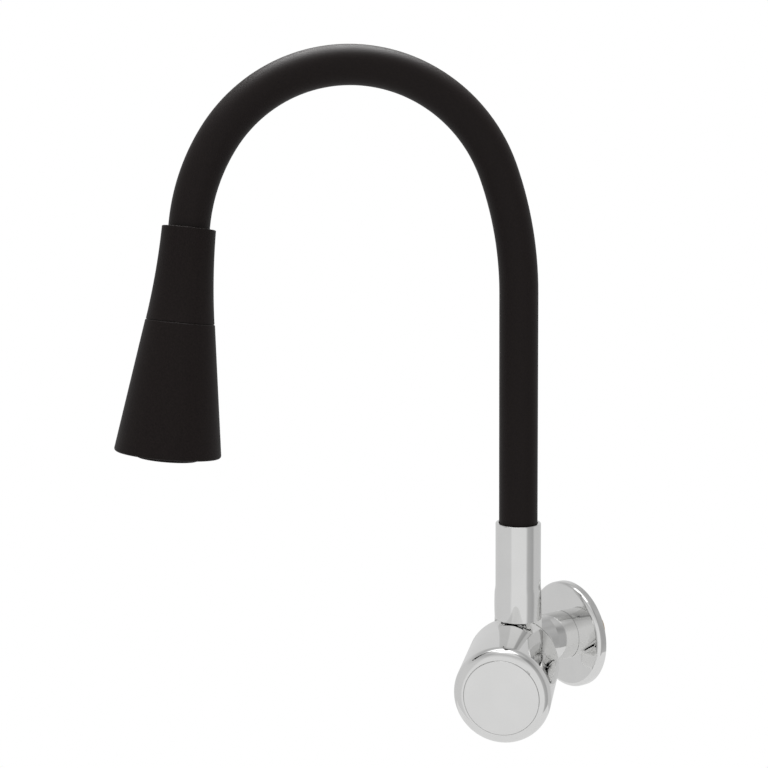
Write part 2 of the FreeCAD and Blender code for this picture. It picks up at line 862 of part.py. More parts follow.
def open_clip(label, seat, outer, thick, gap, placement):
    """A snap ring with a gap in it."""
    ring = turned(label + "_ring", [(seat, "0"), (outer, "0"), (outer, thick), (seat, thick)])
    opening = primitive(
        "Box",
        label + "_opening",
        Placement(Vector(0, -value(gap) / 2, -value(thick)), Rotation()),
        Length="2 * (" + outer + ")",
        Width=gap,
        Height="3 * (" + thick + ")",
    )
    keep(label, cut(label, ring, opening), placement)


open_clip(
    "spindle_clip",
    STEM_CLIP_SEAT + " + insert_gap",
    STEM_CLIP_SEAT + " + stem_clip_width",
    "stem_clip_thick - slip_fit / 2",
    "stem_clip_gap",
    shifted(seat_frame, NOSE_END + " + slip_fit"),
)

# Knob: shell, splined insert, screw and cover cap
knob_turned = turned(
    "knob_turned",
    [
        ("knob_r - knob_wall", "0"),
        ("knob_r - knob_rear_round", "0", "knob_rear_round", -1),
        ("knob_r", "knob_rear_round"),
        ("knob_r", "knob_len - knob_front_round", "knob_front_round", -1),
        ("knob_r - knob_front_round", "knob_len"),
        (CAP_R + " + cap_gap", "knob_len"),
        (CAP_R + " + cap_gap", "knob_len - cap_recess"),
        (CAP_SNAP_R + " + insert_gap", "knob_len - cap_recess"),
        (CAP_SNAP_R + " + insert_gap", WEB_START + " + web_thick"),
        (SCREW_HOLE_R + " + loose_fit", WEB_START + " + web_thick"),
        (SCREW_HOLE_R + " + loose_fit", WEB_START),
        ("hub_bore", WEB_START),
        ("hub_bore", HUB_START + " - seat_back"),
        ("hub_bore + hub_wall", HUB_START + " - seat_back"),
        ("hub_bore + hub_wall", WEB_START),
        ("knob_r - knob_wall", WEB_START),
    ],
)
notch = primitive(
    "Cylinder",
    "knob_notch",
    around(CAP_R + " + cap_gap", "knob_len - notch_depth", value("notch_angle")),
    Radius="notch_r",
    Height="2 * notch_depth",
)
keep("knob_shell", cut("knob_shell", knob_turned, notch), knob_frame)
keep(
    "knob_insert",
    turned(
        "knob_insert",
        [
            ("spline_r + insert_gap", HUB_START),
            ("hub_bore - insert_gap", HUB_START),
            ("hub_bore - insert_gap", WEB_AT),
            ("spline_r + insert_gap", WEB_AT),
        ],
    ),
    seat_frame,
)
screw_turned = turned(
    "knob_screw_turned",
    [
        ("0", "0"),
        ("screw_r", "0"),
        ("screw_r", "screw_len + web_thick - loose_fit"),
        ("screw_head_r", "screw_len + web_thick - loose_fit"),
        ("screw_head_r", "screw_len + web_thick - loose_fit + screw_head_len"),
        ("0", "screw_len + web_thick - loose_fit + screw_head_len"),
    ],
)
screw_key = primitive(
    "Prism",
    "knob_screw_key",
    Placement(
        Vector(0, 0, value("screw_len + web_thick - loose_fit + screw_head_len - screw_key_depth")),
        Rotation(),
    ),
    Circumradius="screw_key",
    Height="2 * screw_key_depth",
)
screw_key.Polygon = 6
keep(
    "knob_screw",
    cut("knob_screw", screw_turned, screw_key),
    shifted(knob_frame, WEB_START + " - screw_len + loose_fit"),
)
CAP_THICK = "cap_recess - cap_sink"
keep(
    "knob_cap",
    turned(
        "knob_cap",
        [
            ("0", "cap_snap_len"),
            (CAP_SNAP_R + " - cap_snap_wall", "cap_snap_len"),
            (CAP_SNAP_R + " - cap_snap_wall", "0"),
            (CAP_SNAP_R, "0"),
            (CAP_SNAP_R, "cap_snap_len"),
            (CAP_R, "cap_snap_len"),
            (CAP_R, "cap_snap_len + " + CAP_THICK + " - cap_round", "cap_round", -1),
            (CAP_R + " - cap_round", "cap_snap_len + " + CAP_THICK),
            ("0", "cap_snap_len + " + CAP_THICK),
        ],
    ),
    shifted(knob_frame, "knob_len - cap_recess - cap_snap_len"),
)

# Spout tube and the grub screw that holds it
STEP_BEND = "(step_rise ^ 2 + collar_step ^ 2) / (4 * collar_step)"
tube_turned = turned(
    "spout_tube_turned",
    [
        ("tube_bore", "0"),
        (COLLAR_FOOT_R, "0", "collar_swell", -1),
        (COLLAR_R, "collar_height", STEP_BEND, -1),
        (TUBE_R + " + collar_step / 2", "collar_height + step_rise / 2", STEP_BEND, 1),
        (TUBE_R, "collar_height + step_rise"),
        (TUBE_R, "tube_height - lip_round", "lip_round", -1),
        (TUBE_R + " - lip_round", "tube_height"),
        ("hose_r + hose_fit", "tube_height"),
        ("hose_r + hose_fit", SOCKET_FLOOR),
        ("ledge_r", SOCKET_FLOOR),
        ("ledge_r", LEDGE_LOW),
        ("tube_bore", LEDGE_LOW),
    ],
)
GRUB_START = TRACK_R + " + grub_tip_gap"
GRUB_LEN = COLLAR_R + " - grub_sink - (" + GRUB_START + ")"
grub_height = Vector(0, 0, value("track_low + track_width / 2"))
grub_frame = Placement(grub_height, Rotation(Vector(1, 0, 0), -90))
grub_hole = primitive(
    "Cylinder",
    "grub_hole",
    shifted(grub_frame, TRACK_R),
    Radius="grub_r + insert_gap",
    Height=COLLAR_R,
)
keep("spout_tube", cut("spout_tube", tube_turned, grub_hole), spout_frame)
grub_turned = turned(
    "grub_turned",
    [
        ("0", "0"),
        ("grub_tip_r", "0"),
        ("grub_tip_r", "grub_tip_len"),
        ("grub_r", "grub_tip_len"),
        ("grub_r", GRUB_LEN),
        ("0", GRUB_LEN),
    ],
)
grub_key = primitive(
    "Prism",
    "grub_key",
    Placement(Vector(0, 0, value(GRUB_LEN + " - grub_key_depth")), Rotation()),
    Circumradius="grub_key",
    Height="2 * grub_key_depth",
)
grub_key.Polygon = 6
keep(
    "retaining_screw",
    cut("retaining_screw", grub_turned, grub_key),
    spout_frame.multiply(shifted(grub_frame, GRUB_START)),
)

# Hose, its tails and its layers
keep(
    "foot_seal",
    turned(
        "foot_seal",
        [
            ("ledge_r - slip_fit", "0"),
            ("hose_r", "0"),
            ("hose_r", "tail_seal_thick"),
            ("ledge_r - slip_fit", "tail_seal_thick"),
        ],
    ),
    shifted(spout_frame, SOCKET_FLOOR),
)


def hose_tail(label, shank_r, shank_len, placement):
    """A tail with a shank, a flange on which the hose stands, and a barb in the water hose."""
    outline = [
        ("tail_bore", "0"),
        (shank_r, "0"),
        (shank_r, shank_len),
        ("hose_r + slip_fit", shank_len),
        ("hose_r + slip_fit", shank_len + " + tail_flange_thick"),
        ("water_bore - slip_fit", shank_len + " + tail_flange_thick"),
        ("water_bore - slip_fit", shank_len + " + tail_flange_thick + tail_barb_len"),
        ("tail_bore", shank_len + " + tail_flange_thick + tail_barb_len"),
    ]
    keep(label, turned(label, outline), placement)


hose_tail(
    "foot_fitting",
    "foot_shank_r",
    "foot_shank_len + tail_seal_thick",
    shifted(spout_frame, SOCKET_FLOOR + " - foot_shank_len"),
)
hose_layer("hose_sleeve", "hose_r", "hose_r - sleeve_hose_wall")
hose_layer("gooseneck_core", CORE_R, CORE_R + " - core_wall")
hose_layer("water_hose", WATER_R, "water_bore")

# Upper shell of the head, with the tail of the hose, its nut and washer
HEAD_LEDGE = "hose_in_head + tail_flange_thick"
HEAD_ROOM = HEAD_LEDGE + " + head_floor"
keep(
    "head_shell",
    turned(
        "head_shell",
        [
            ("hose_r + hose_fit", "0"),
            ("head_top_r - head_top_round", "0", "head_top_round", -1),
            ("head_top_r", "head_top_round", "head_swell", 1),
            ("head_seam_r", "head_seam"),
            ("head_seam_r - head_wall", "head_seam"),
            ("head_cavity_r", HEAD_ROOM),
            ("head_shank_r + loose_fit", HEAD_ROOM),
            ("head_shank_r + loose_fit", HEAD_LEDGE),
            ("hose_r + hose_fit", HEAD_LEDGE),
        ],
    ),
    head_frame,
)
SHANK_END = HEAD_LEDGE + " + head_shank_len"
half_turn = Placement(Vector(), Rotation(Vector(1, 0, 0), 180))
tail_end = shifted(head_frame, SHANK_END).multiply(half_turn)
hose_tail("head_fitting", "head_shank_r", "head_shank_len", tail_end)
nut_prism = primitive(
    "Prism", "head_nut_prism", Placement(), Circumradius="nut_flats / 2 / cos(30)", Height="nut_len"
)
nut_prism.Polygon = 6
nut_bore = primitive(
    "Cylinder", "head_nut_bore", Placement(), Radius="head_shank_r + slip_fit", Height="nut_len"
)
keep("head_nut", cut("head_nut", nut_prism, nut_bore), shifted(head_frame, HEAD_ROOM))
keep(
    "head_washer",
    turned(
        "head_washer",
        [
            ("tail_bore", "0"),
            ("head_shank_r", "0"),
            ("head_shank_r", "washer_thick"),
            ("tail_bore", "washer_thick"),
        ],
    ),
    shifted(head_frame, SHANK_END),
)

# Core on which the bell turns, all measured from the head's top rim. Its plate fits the shell's
# hollow, which widens evenly from the ledge to the seam.
CORE_START = HEAD_ROOM + " + nut_len + nut_gap"
PLATE_START = CORE_START + " + core_hub_len"
HOLLOW_SLOPE = "(head_seam_r - head_wall - head_cavity_r) / (head_seam - (" + HEAD_ROOM + "))"
PLATE_DEPTH = PLATE_START + " - (" + HEAD_ROOM + ")"
PLATE_R = "head_cavity_r - plate_gap + (" + PLATE_DEPTH + ") * " + HOLLOW_SLOPE
BELL_TOP = "head_seam + seam_width"
BELL_HUB_END = BELL_TOP + " + bell_hub_len"
CLIP_START = BELL_HUB_END + " + clip_step"
CLIP_END = CLIP_START + " + clip_thick"
TIP_START = CLIP_END + " + clip_land"
TIP_END = TIP_START + " + core_tip_len"
CORE_RING = TIP_START + " + core_ring_low"
keep(
    "head_core",
    turned(
        "head_core",
        [
            ("head_shank_r + slip_fit", CORE_START),
            ("core_hub_r", CORE_START),
            ("core_hub_r", PLATE_START),
            (PLATE_R, PLATE_START),
            (PLATE_R, PLATE_START + " + core_plate_thick"),
            ("core_journal_r", PLATE_START + " + core_plate_thick"),
            ("core_journal_r", CLIP_START),
            (CORE_GROOVE_R, CLIP_START),
            (CORE_GROOVE_R, CLIP_END),
            ("core_journal_r", CLIP_END),
            ("core_journal_r", TIP_START),
            (CORE_TIP_R, TIP_START),
            (CORE_TIP_R, CORE_RING),
            (CORE_TIP_R + " - 2 * core_ring_wire", CORE_RING),
            (CORE_TIP_R + " - 2 * core_ring_wire", CORE_RING + " + ring_groove"),
            (CORE_TIP_R, CORE_RING + " + ring_groove"),
            (CORE_TIP_R, TIP_END),
            ("tail_bore", TIP_END),
            ("tail_bore", SHANK_END + " + washer_thick"),
            ("head_shank_r + slip_fit", SHANK_END + " + washer_thick"),
        ],
    ),
    head_frame,
)
keep(
    "core_o_ring",
    primitive(
        "Torus",
        "core_o_ring",
        Placement(),
        Radius1=CORE_TIP_R + " - core_ring_wire",
        Radius2="core_ring_wire",
    ),
    shifted(head_frame, CORE_RING + " + ring_groove / 2"),
)
open_clip(
    "bell_clip",
    CORE_GROOVE_R + " + insert_gap",
    CORE_GROOVE_R + " + clip_width",
    "clip_thick - slip_fit",
    "clip_gap",
    shifted(head_frame, CLIP_START + " + slip_fit / 2"),
)


def four_ports(name, start, height):
    """The middle hole and the four ports of the spray ring, for a disc of that height."""
    holes = [
        primitive(
            "Cylinder",
            name + "_middle",
            Placement(Vector(0, 0, value(start)), Rotation()),
            Radius="mode_hole_r",
            Height=height,
        )
    ]
    for angle in (0, 90, 180, 270):
        holes.append(
            primitive(
                "Cylinder",
                f"{name}_{angle}",
                around(CORE_TIP_R + " - mode_port_edge", start, angle),
                Radius="mode_port_r",
                Height=height,
            )
        )
    return joined(name, holes)


mode_blank = primitive(
    "Cylinder",
    "mode_disc_blank",
    Placement(),
    Radius=CORE_TIP_R + " - slip_fit",
    Height="mode_disc_thick",
)
keep(
    "mode_disc",
    cut("mode_disc", mode_blank, four_ports("mode_ports", "-mode_disc_thick", "3 * mode_disc_thick")),
    shifted(head_frame, TIP_END),
)

# Bell: lower shell of the head
BELL_SLOPE = "(bell_rim_r - bell_top_r) / (bell_end - head_seam - seam_width)"
keep(
    "head_bell",
    turned(
        "head_bell",
        [
            ("core_journal_r + running_fit", BELL_TOP),
            ("bell_top_r - bell_chamfer", BELL_TOP),
            ("bell_top_r", BELL_TOP + " + bell_chamfer"),
            ("bell_rim_r", "bell_end - bell_rim_round", "bell_rim_round", -1),
            ("bell_rim_r - bell_rim_round", "bell_end"),
            ("bell_rim_r - bell_wall", "bell_end"),
            (
                "bell_top_r - bell_wall + bell_top_thick * " + BELL_SLOPE,
                BELL_TOP + " + bell_top_thick",
            ),
            (
                "core_journal_r + running_fit + bell_hub_wall",
                BELL_TOP + " + bell_top_thick",
            ),
            ("core_journal_r + running_fit + bell_hub_wall", BELL_HUB_END),
            ("core_journal_r + running_fit", BELL_HUB_END),
        ],
    ),
    head_frame,
)

# Water ways in the bell, the nozzles' face and the aerator
CUP_START = TIP_START + " + cup_gap"
CUP_FLOOR = TIP_END + " + mode_disc_thick + disc_gap"
CUP_R = CORE_TIP_R + " + running_fit + cup_wall"
FACE_START = "bell_end - face_sink - face_thick"
SKIRT_RUN = FACE_START + " - skirt_flange_thick"
SKIRT_SINK = "(face_sink + face_thick + skirt_flange_thick)"
SKIRT_R = "bell_rim_r - bell_wall - skirt_gap - " + SKIRT_SINK + " * " + BELL_SLOPE
SKIRT_BORE = SKIRT_R + " - skirt_rim"
OUTER_RING = SKIRT_BORE + " - nozzle_edge"
INNER_RING = OUTER_RING + " - nozzle_ring_step"
MAT_BORE = INNER_RING + " - nozzle_r - slip_fit - loose_fit"
STREAM_R = MAT_BORE + " - stream_gap - stream_wall"
SHANK_R = STREAM_R + " - slip_fit"
spray_turned = turned(
    "spray_body_turned",
    [
        (CORE_TIP_R + " + running_fit", CUP_START),
        (CUP_R, CUP_START),
        (CUP_R, CUP_FLOOR),
        (SKIRT_R, SKIRT_RUN),
        (SKIRT_R, FACE_START),
        (SKIRT_BORE, FACE_START),
        (SKIRT_BORE, SKIRT_RUN),
        (CUP_R + " - skirt_wall", CUP_FLOOR + " + cup_floor"),
        ("0", CUP_FLOOR + " + cup_floor"),
        ("0", CUP_FLOOR),
        (CORE_TIP_R + " + running_fit", CUP_FLOOR),
    ],
)
keep(
    "spray_body",
    cut(
        "spray_body",
        spray_turned,
        four_ports("cup_ports", CUP_FLOOR + " - cup_floor / 2", "2 * cup_floor"),
    ),
    head_frame,
)
STREAM_END = FACE_START + " - (" + CUP_FLOOR + " + cup_floor)"
STREAM_CONE_END = STREAM_END + " - aerator_shank_len - stream_room"
keep(
    "stream_tube",
    turned(
        "stream_tube",
        [
            ("mode_hole_r", "0"),
            ("mode_hole_r + stream_wall", "0"),
            ("mode_hole_r + stream_wall", "stream_top_len"),
            (STREAM_R + " + stream_wall", STREAM_CONE_END),
            (STREAM_R + " + stream_wall", STREAM_END),
            (STREAM_R, STREAM_END),
            (STREAM_R, STREAM_CONE_END),
            ("mode_hole_r", "stream_top_len + stream_wall"),
        ],
    ),
    shifted(head_frame, CUP_FLOOR + " + cup_floor"),
)

NOZZLE_RINGS = {"in": (INNER_RING, "nozzle_count_in"), "out": (OUTER_RING, "nozzle_count_out")}


def nozzle_ring(name, start, radius, height):
    """Round pegs on the two rings, as many as the sheet says."""
    pegs = []
    for ring, (ring_radius, count) in NOZZLE_RINGS.items():
        for index in range(int(value(count))):
            pegs.append(
                primitive(
                    "Cylinder",
                    f"{name}_{ring}_{index}",
                    around(ring_radius, start, index * 360 / value(count)),
                    Radius=radius,
                    Height=height,
                )
            )
    return pegs


face_blank = turned(
    "spray_face_blank",
    [
        (STREAM_R, "0"),
        ("bell_rim_r - bell_wall - face_gap - face_thick * " + BELL_SLOPE, "0"),
        ("bell_rim_r - bell_wall - face_gap", "face_thick"),
        (STREAM_R, "face_thick"),
    ],
)
hole_pegs = nozzle_ring("face_hole", "-face_thick", "nozzle_r + slip_fit", "3 * face_thick")
spray_face = cut("spray_face", face_blank, joined("face_holes", hole_pegs))
keep("spray_face", spray_face, shifted(head_frame, FACE_START))
nozzle_mat = turned(
    "nozzle_mat_ring",
    [
        (MAT_BORE, "0"),
        (SKIRT_BORE + " - slip_fit - insert_gap", "0"),
        (SKIRT_BORE + " - slip_fit - insert_gap", "nozzle_mat"),
        (MAT_BORE, "nozzle_mat"),
    ],
)
nozzles = nozzle_ring("nozzle", "nozzle_mat / 2", "nozzle_r", "nozzle_mat / 2 + face_thick + nozzle_out")
keep(
    "spray_nozzles",
    joined("spray_nozzles", [nozzle_mat] + nozzles),
    shifted(head_frame, FACE_START + " - nozzle_mat"),
)

AERATOR_END = "aerator_shank_len + face_thick + face_sink + aerator_out"
AERATOR_R = SHANK_R + " + aerator_rim"
AERATOR_BORE = SHANK_R + " - aerator_wall"
keep(
    "aerator_housing",
    turned(
        "aerator_housing",
        [
            (AERATOR_BORE, "0"),
            (SHANK_R, "0"),
            (SHANK_R, "aerator_shank_len + face_thick"),
            (AERATOR_R, "aerator_shank_len + face_thick"),
            (AERATOR_R, AERATOR_END + " - aerator_round", "aerator_round", -1),
            (AERATOR_R + " - aerator_round", AERATOR_END),
            (AERATOR_BORE + " - aerator_lip", AERATOR_END),
            (AERATOR_BORE + " - aerator_lip", AERATOR_END + " - aerator_sink"),
            (AERATOR_BORE, AERATOR_END + " - aerator_sink"),
        ],
    ),
    shifted(head_frame, FACE_START + " - aerator_shank_len"),
)
INSERT_LEN = AERATOR_END + " - aerator_sink - washer_thick"
insert_blank = primitive(
    "Cylinder",
    "aerator_insert_blank",
    Placement(),
    Radius=AERATOR_BORE + " - slip_fit",
    Height=INSERT_LEN,
)
insert_holes = []
for ring in range(int(value("aerator_rings")) + 1):
    count = max(1, 6 * ring)
    for index in range(count):
        insert_holes.append(
            primitive(
                "Cylinder",
                f"aerator_hole_{ring}_{index}",
                around(f"{ring} * aerator_hole_step", "-overrun", index * 360 / count),
                Radius="aerator_hole_r",
                Height=INSERT_LEN + " + 2 * overrun",
            )
        )
keep(
    "aerator_insert",
    cut("aerator_insert", insert_blank, joined("aerator_holes", insert_holes)),
    shifted(head_frame, FACE_START + " - aerator_shank_len + washer_thick"),
)
keep(
    "aerator_washer",
    turned(
        "aerator_washer",
        [
            (AERATOR_BORE + " - washer_thick", "0"),
            (AERATOR_BORE + " - slip_fit", "0"),
            (AERATOR_BORE + " - slip_fit", "washer_thick"),
            (AERATOR_BORE + " - washer_thick", "washer_thick"),
        ],
    ),
    shifted(head_frame, FACE_START + " - aerator_shank_len"),
)

# Every object is checked before anything is written
doc.recompute()
for item in doc.Objects:
    if "Invalid" in item.State or "Error" in item.State:
        raise RuntimeError(f"{item.Label} failed: {item.State}")
for label, piece in parts.items():
    if piece.Shape.isNull() or not piece.Shape.isValid():
        raise RuntimeError(f"{label} has no valid shape")

os.makedirs("parts", exist_ok=True)
for label, piece in parts.items():
    piece.Shape.exportStep(f"parts/{label}.step")
    print(label, len(piece.Shape.Solids), round(piece.Shape.Volume, 1), piece.Shape.BoundBox)
print(len(parts), "sub-parts")
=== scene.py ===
# %% [markdown]
# # A wall-mounted flexible tap
#
# The tap has a small chromed base: a valve body on a wall flange, a round knob that points out to
# the right, and a short upright tube. A black flexible arm rises from the tube, bends over in a
# tall arch and carries a black spray head shaped like a bell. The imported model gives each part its
# place. The visible surfaces are made again here, smooth enough for chrome to mirror the room.

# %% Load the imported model
import json
import math

import bpy
from mathutils import Matrix, Quaternion, Vector


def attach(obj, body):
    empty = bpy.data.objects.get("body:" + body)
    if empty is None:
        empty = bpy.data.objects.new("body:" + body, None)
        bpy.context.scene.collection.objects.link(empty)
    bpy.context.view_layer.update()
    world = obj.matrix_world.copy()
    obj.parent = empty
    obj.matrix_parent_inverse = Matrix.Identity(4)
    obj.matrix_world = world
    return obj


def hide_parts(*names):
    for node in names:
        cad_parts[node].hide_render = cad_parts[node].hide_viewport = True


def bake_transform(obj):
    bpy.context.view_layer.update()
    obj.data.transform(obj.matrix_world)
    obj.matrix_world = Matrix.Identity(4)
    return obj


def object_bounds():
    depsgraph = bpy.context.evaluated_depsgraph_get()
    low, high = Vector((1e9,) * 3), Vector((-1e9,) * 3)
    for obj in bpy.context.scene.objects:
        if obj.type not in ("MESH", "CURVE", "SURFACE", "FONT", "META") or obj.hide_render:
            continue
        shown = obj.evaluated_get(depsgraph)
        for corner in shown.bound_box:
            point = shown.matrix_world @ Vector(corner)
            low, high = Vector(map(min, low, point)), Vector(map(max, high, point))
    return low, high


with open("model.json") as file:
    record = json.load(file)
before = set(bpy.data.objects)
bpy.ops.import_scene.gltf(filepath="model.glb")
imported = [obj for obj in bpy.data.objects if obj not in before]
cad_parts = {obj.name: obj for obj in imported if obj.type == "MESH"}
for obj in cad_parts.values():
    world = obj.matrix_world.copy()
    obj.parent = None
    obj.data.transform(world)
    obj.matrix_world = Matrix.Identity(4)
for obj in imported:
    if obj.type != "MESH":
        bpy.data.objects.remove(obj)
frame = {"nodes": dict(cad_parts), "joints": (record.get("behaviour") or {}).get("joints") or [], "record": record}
cad_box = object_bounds()
nodes = frame["nodes"]
joints = {joint["name"]: joint for joint in frame["joints"]}

# %% [markdown]
# ## Camera first
#
# The photograph was taken from the front right, a little above the knob, and its upright lines stay
# nearly parallel. A camera that is almost level, with a small downward shift, draws them the same
# way. Turning the camera down instead would make them lean together. The shift is kept small,
# because other views of the model keep it too.

# %% The camera
PHOTO_SIDE = 768
FOCAL_PIXELS = 1314.68
CAMERA_PLACE = Vector((0.52768, -0.46094, 0.22362))
CAMERA_AZIMUTH = math.radians(57.063)
CAMERA_PITCH = math.radians(5.194)
CAMERA_ROLL = math.radians(-0.391)
CAMERA_SHIFT = -0.06
SENSOR_WIDTH = 36
CLIP_START = 0.01

sight = Vector(
    (
        -math.sin(CAMERA_AZIMUTH) * math.cos(CAMERA_PITCH),
        math.cos(CAMERA_AZIMUTH) * math.cos(CAMERA_PITCH),
        -math.sin(CAMERA_PITCH),
    )
)
camera_data = bpy.data.cameras.new("camera")
camera = bpy.data.objects.new("camera", camera_data)
bpy.context.scene.collection.objects.link(camera)
camera.location = CAMERA_PLACE
camera.rotation_mode = "QUATERNION"
camera.rotation_quaternion = sight.to_track_quat("-Z", "Y") @ Quaternion((0, 0, 1), CAMERA_ROLL)
camera_data.sensor_width = SENSOR_WIDTH
camera_data.lens = FOCAL_PIXELS * SENSOR_WIDTH / PHOTO_SIDE
camera_data.shift_y = CAMERA_SHIFT
camera_data.clip_start = CLIP_START
bpy.context.scene.camera = camera
print("lens", round(camera_data.lens, 1))

# %% [markdown]
# ## The white room
#
# Mirror chrome shows nothing but its surroundings, so the room is half of its finish. The photograph
# has the tap in a white light tent: bright all round, greyer on one side, and hardly any shadow.
# Lamps and cards set up round the tap would leave hard edges in the chrome. So the world itself holds
# the tent, as a ramp of greys round the horizon and a second one from the horizon to the ceiling.
# Reflections alone see it. The camera sees plain white, and matt surfaces get an even light.

# %% Helpers for node trees
def new_material(name):
    """An empty node material, its tree and its output."""
    material = bpy.data.materials.new(name)
    material.use_nodes = True
    tree = material.node_tree
    tree.nodes.clear()
    output = tree.nodes.new("ShaderNodeOutputMaterial")
    print("material", name)
    return material, tree, output


def node(tree, kind, **inputs):
    """A shader node with some of its inputs set."""
    made = tree.nodes.new("ShaderNode" + kind)
    for name, given in inputs.items():
        made.inputs[name.replace("_", " ")].default_value = given
    return made


def even_grey(brightness):
    """An opaque grey."""
    return (brightness, brightness, brightness, 1)


def grey_ramp(tree, value, stops):
    """A ramp of greys from (place, brightness) pairs."""
    made = tree.nodes.new("ShaderNodeValToRGB")
    elements = made.color_ramp.elements
    elements.remove(elements[1])
    elements[0].position = stops[0][0]
    for index, (place, brightness) in enumerate(stops):
        element = elements[0] if index == 0 else elements.new(place)
        element.color = even_grey(brightness)
    tree.links.new(value, made.inputs["Fac"])
    return made.outputs["Color"]


def mixed(tree, share, first, second):
    """The first shader where the share is 0, and the second where it is 1."""
    made = tree.nodes.new("ShaderNodeMixShader")
    tree.links.new(share, made.inputs["Fac"])
    tree.links.new(first, made.inputs[1])
    tree.links.new(second, made.inputs[2])
    return made.outputs["Shader"]


# %% The white room
ROOM_LIGHT = 1.15
TENT_TURN = math.pi / 2 - CAMERA_AZIMUTH
# Degrees round the tap and a grey. The camera looks from 0, and its right is positive.
ROUND_THE_TENT = (
    (-180, 0.68),
    (-125, 0.66),
    (-45, 0.665),
    (-36, 0.79),
    (33, 0.79),
    (44, 0.47),
    (72, 0.40),
    (84, 0.61),
    (135, 0.61),
    (180, 0.68),
)
# Height from the horizon, at 0, to straight above, at 1, and the share of the grey that is left.
UP_THE_TENT = ((0.0, 1.0), (0.35, 1.0), (0.75, 0.7), (0.9, 1.0), (1.0, 1.0))

bpy.context.scene.view_settings.view_transform = "Standard"
world = bpy.data.worlds.new("white_room")
bpy.context.scene.world = world
world.use_nodes = True
room = world.node_tree
room.nodes.clear()
room_output = room.nodes.new("ShaderNodeOutputWorld")
direction = room.nodes.new("ShaderNodeTexCoord").outputs["Generated"]
turned = node(room, "Mapping", Rotation=(0, 0, TENT_TURN))
room.links.new(direction, turned.inputs["Vector"])
around = room.nodes.new("ShaderNodeTexGradient")
around.gradient_type = "RADIAL"
room.links.new(turned.outputs["Vector"], around.inputs["Vector"])
stops = [(0.5 + angle / 360, grey) for angle, grey in ROUND_THE_TENT]
walls = grey_ramp(room, around.outputs["Fac"], stops)
heights = room.nodes.new("ShaderNodeSeparateXYZ")
room.links.new(direction, heights.inputs["Vector"])
ceiling = grey_ramp(room, heights.outputs["Z"], UP_THE_TENT)
tent = room.nodes.new("ShaderNodeVectorMath")
tent.operation = "MULTIPLY"
room.links.new(walls, tent.inputs[0])
room.links.new(ceiling, tent.inputs[1])

rays = room.nodes.new("ShaderNodeLightPath")
plain_white = node(room, "Background", Color=even_grey(1), Strength=1.0)
even_light = node(room, "Background", Color=even_grey(1), Strength=ROOM_LIGHT)
tent_light = room.nodes.new("ShaderNodeBackground")
room.links.new(tent.outputs["Vector"], tent_light.inputs["Color"])
mirrors = rays.outputs["Is Glossy Ray"]
lit = mixed(room, mirrors, even_light.outputs["Background"], tent_light.outputs["Background"])
seen = mixed(room, rays.outputs["Is Camera Ray"], lit, plain_white.outputs["Background"])
room.links.new(seen, room_output.inputs["Surface"])
print("greys round the tent", len(ROUND_THE_TENT))

# %% [markdown]
# ## The floor and the lamps
#
# A floor below the tap gives its underside something to mirror. A white floor would be a glare in
# the chrome, and a grey one would darken the picture. So its finish depends on what sees it: white
# for the camera and grey in reflections. A weak lamp above rounds the shapes. A strong one lights
# the black pieces alone, for the sheen along the top of the arch. Light linking keeps it off the
# chrome, where it would show as a white patch.

# %% The floor
FLOOR_DROP = 0.45
FLOOR_SIDE = 1.4
FLOOR_GREY = 0.92
MIRRORED_GREY = 0.64

floor_material, tree, output = new_material("pale_floor")
plain_floor = node(tree, "BsdfDiffuse", Color=even_grey(FLOOR_GREY)).outputs["BSDF"]
mirrored_floor = node(tree, "BsdfDiffuse", Color=even_grey(MIRRORED_GREY)).outputs["BSDF"]
mirrors = tree.nodes.new("ShaderNodeLightPath").outputs["Is Glossy Ray"]
tree.links.new(mixed(tree, mirrors, plain_floor, mirrored_floor), output.inputs["Surface"])

bpy.ops.object.select_all(action="DESELECT")
bpy.ops.mesh.primitive_plane_add(size=FLOOR_SIDE, location=(0, 0, cad_box[0].z - FLOOR_DROP))
floor = bpy.context.object
floor.name = "floor"
floor.data.materials.append(floor_material)
print("floor", round(floor.location.z, 3))

# %% The lamps
LAMP_SIDE = 1.1
ABOVE_PLACE = (-0.1, -0.1, 1.5)
ABOVE_POWER = 3.6
SHEEN_PLACE = (-0.35, 0.1, 1.45)
SHEEN_POWER = 45

middle = (cad_box[0] + cad_box[1]) / 2


def lamp(name, place, power):
    """A broad square lamp that points at the middle of the tap."""
    data = bpy.data.lights.new(name, "AREA")
    data.size = LAMP_SIDE
    data.energy = power
    made = bpy.data.objects.new(name, data)
    bpy.context.scene.collection.objects.link(made)
    made.location = place
    made.rotation_mode = "QUATERNION"
    made.rotation_quaternion = (middle - Vector(place)).to_track_quat("-Z", "Y")
    print(name, power, "W")
    return made


lamp("lamp_above", ABOVE_PLACE, ABOVE_POWER)
sheen_lamp = lamp("lamp_sheen", SHEEN_PLACE, SHEEN_POWER)
black_pieces = bpy.data.collections.new("black_pieces")
sheen_lamp.light_linking.receiver_collection = black_pieces

# %% [markdown]
# ## Where things are
#
# Every turned piece stands on an axis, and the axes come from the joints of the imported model: the
# knob's, the spout's and the spray head's. The arm's own joint gives the plane of the arch. Each
# place has its local Z along the axis, so a piece is turned at the origin and then laid there.
# Modelling each piece where it stands would work too, but then every profile would be tilted.

# %% Places on the axes
MM = 0.001
UP = Vector((0, 0, 1))
BEND_AXIS = Vector(joints["arm_bend"]["axis"]).normalized()
OUTWARD = BEND_AXIS.cross(UP)


def joint_axis(joint_name):
    """The direction of a joint's axis."""
    return Vector(joints[joint_name]["axis"]).normalized()


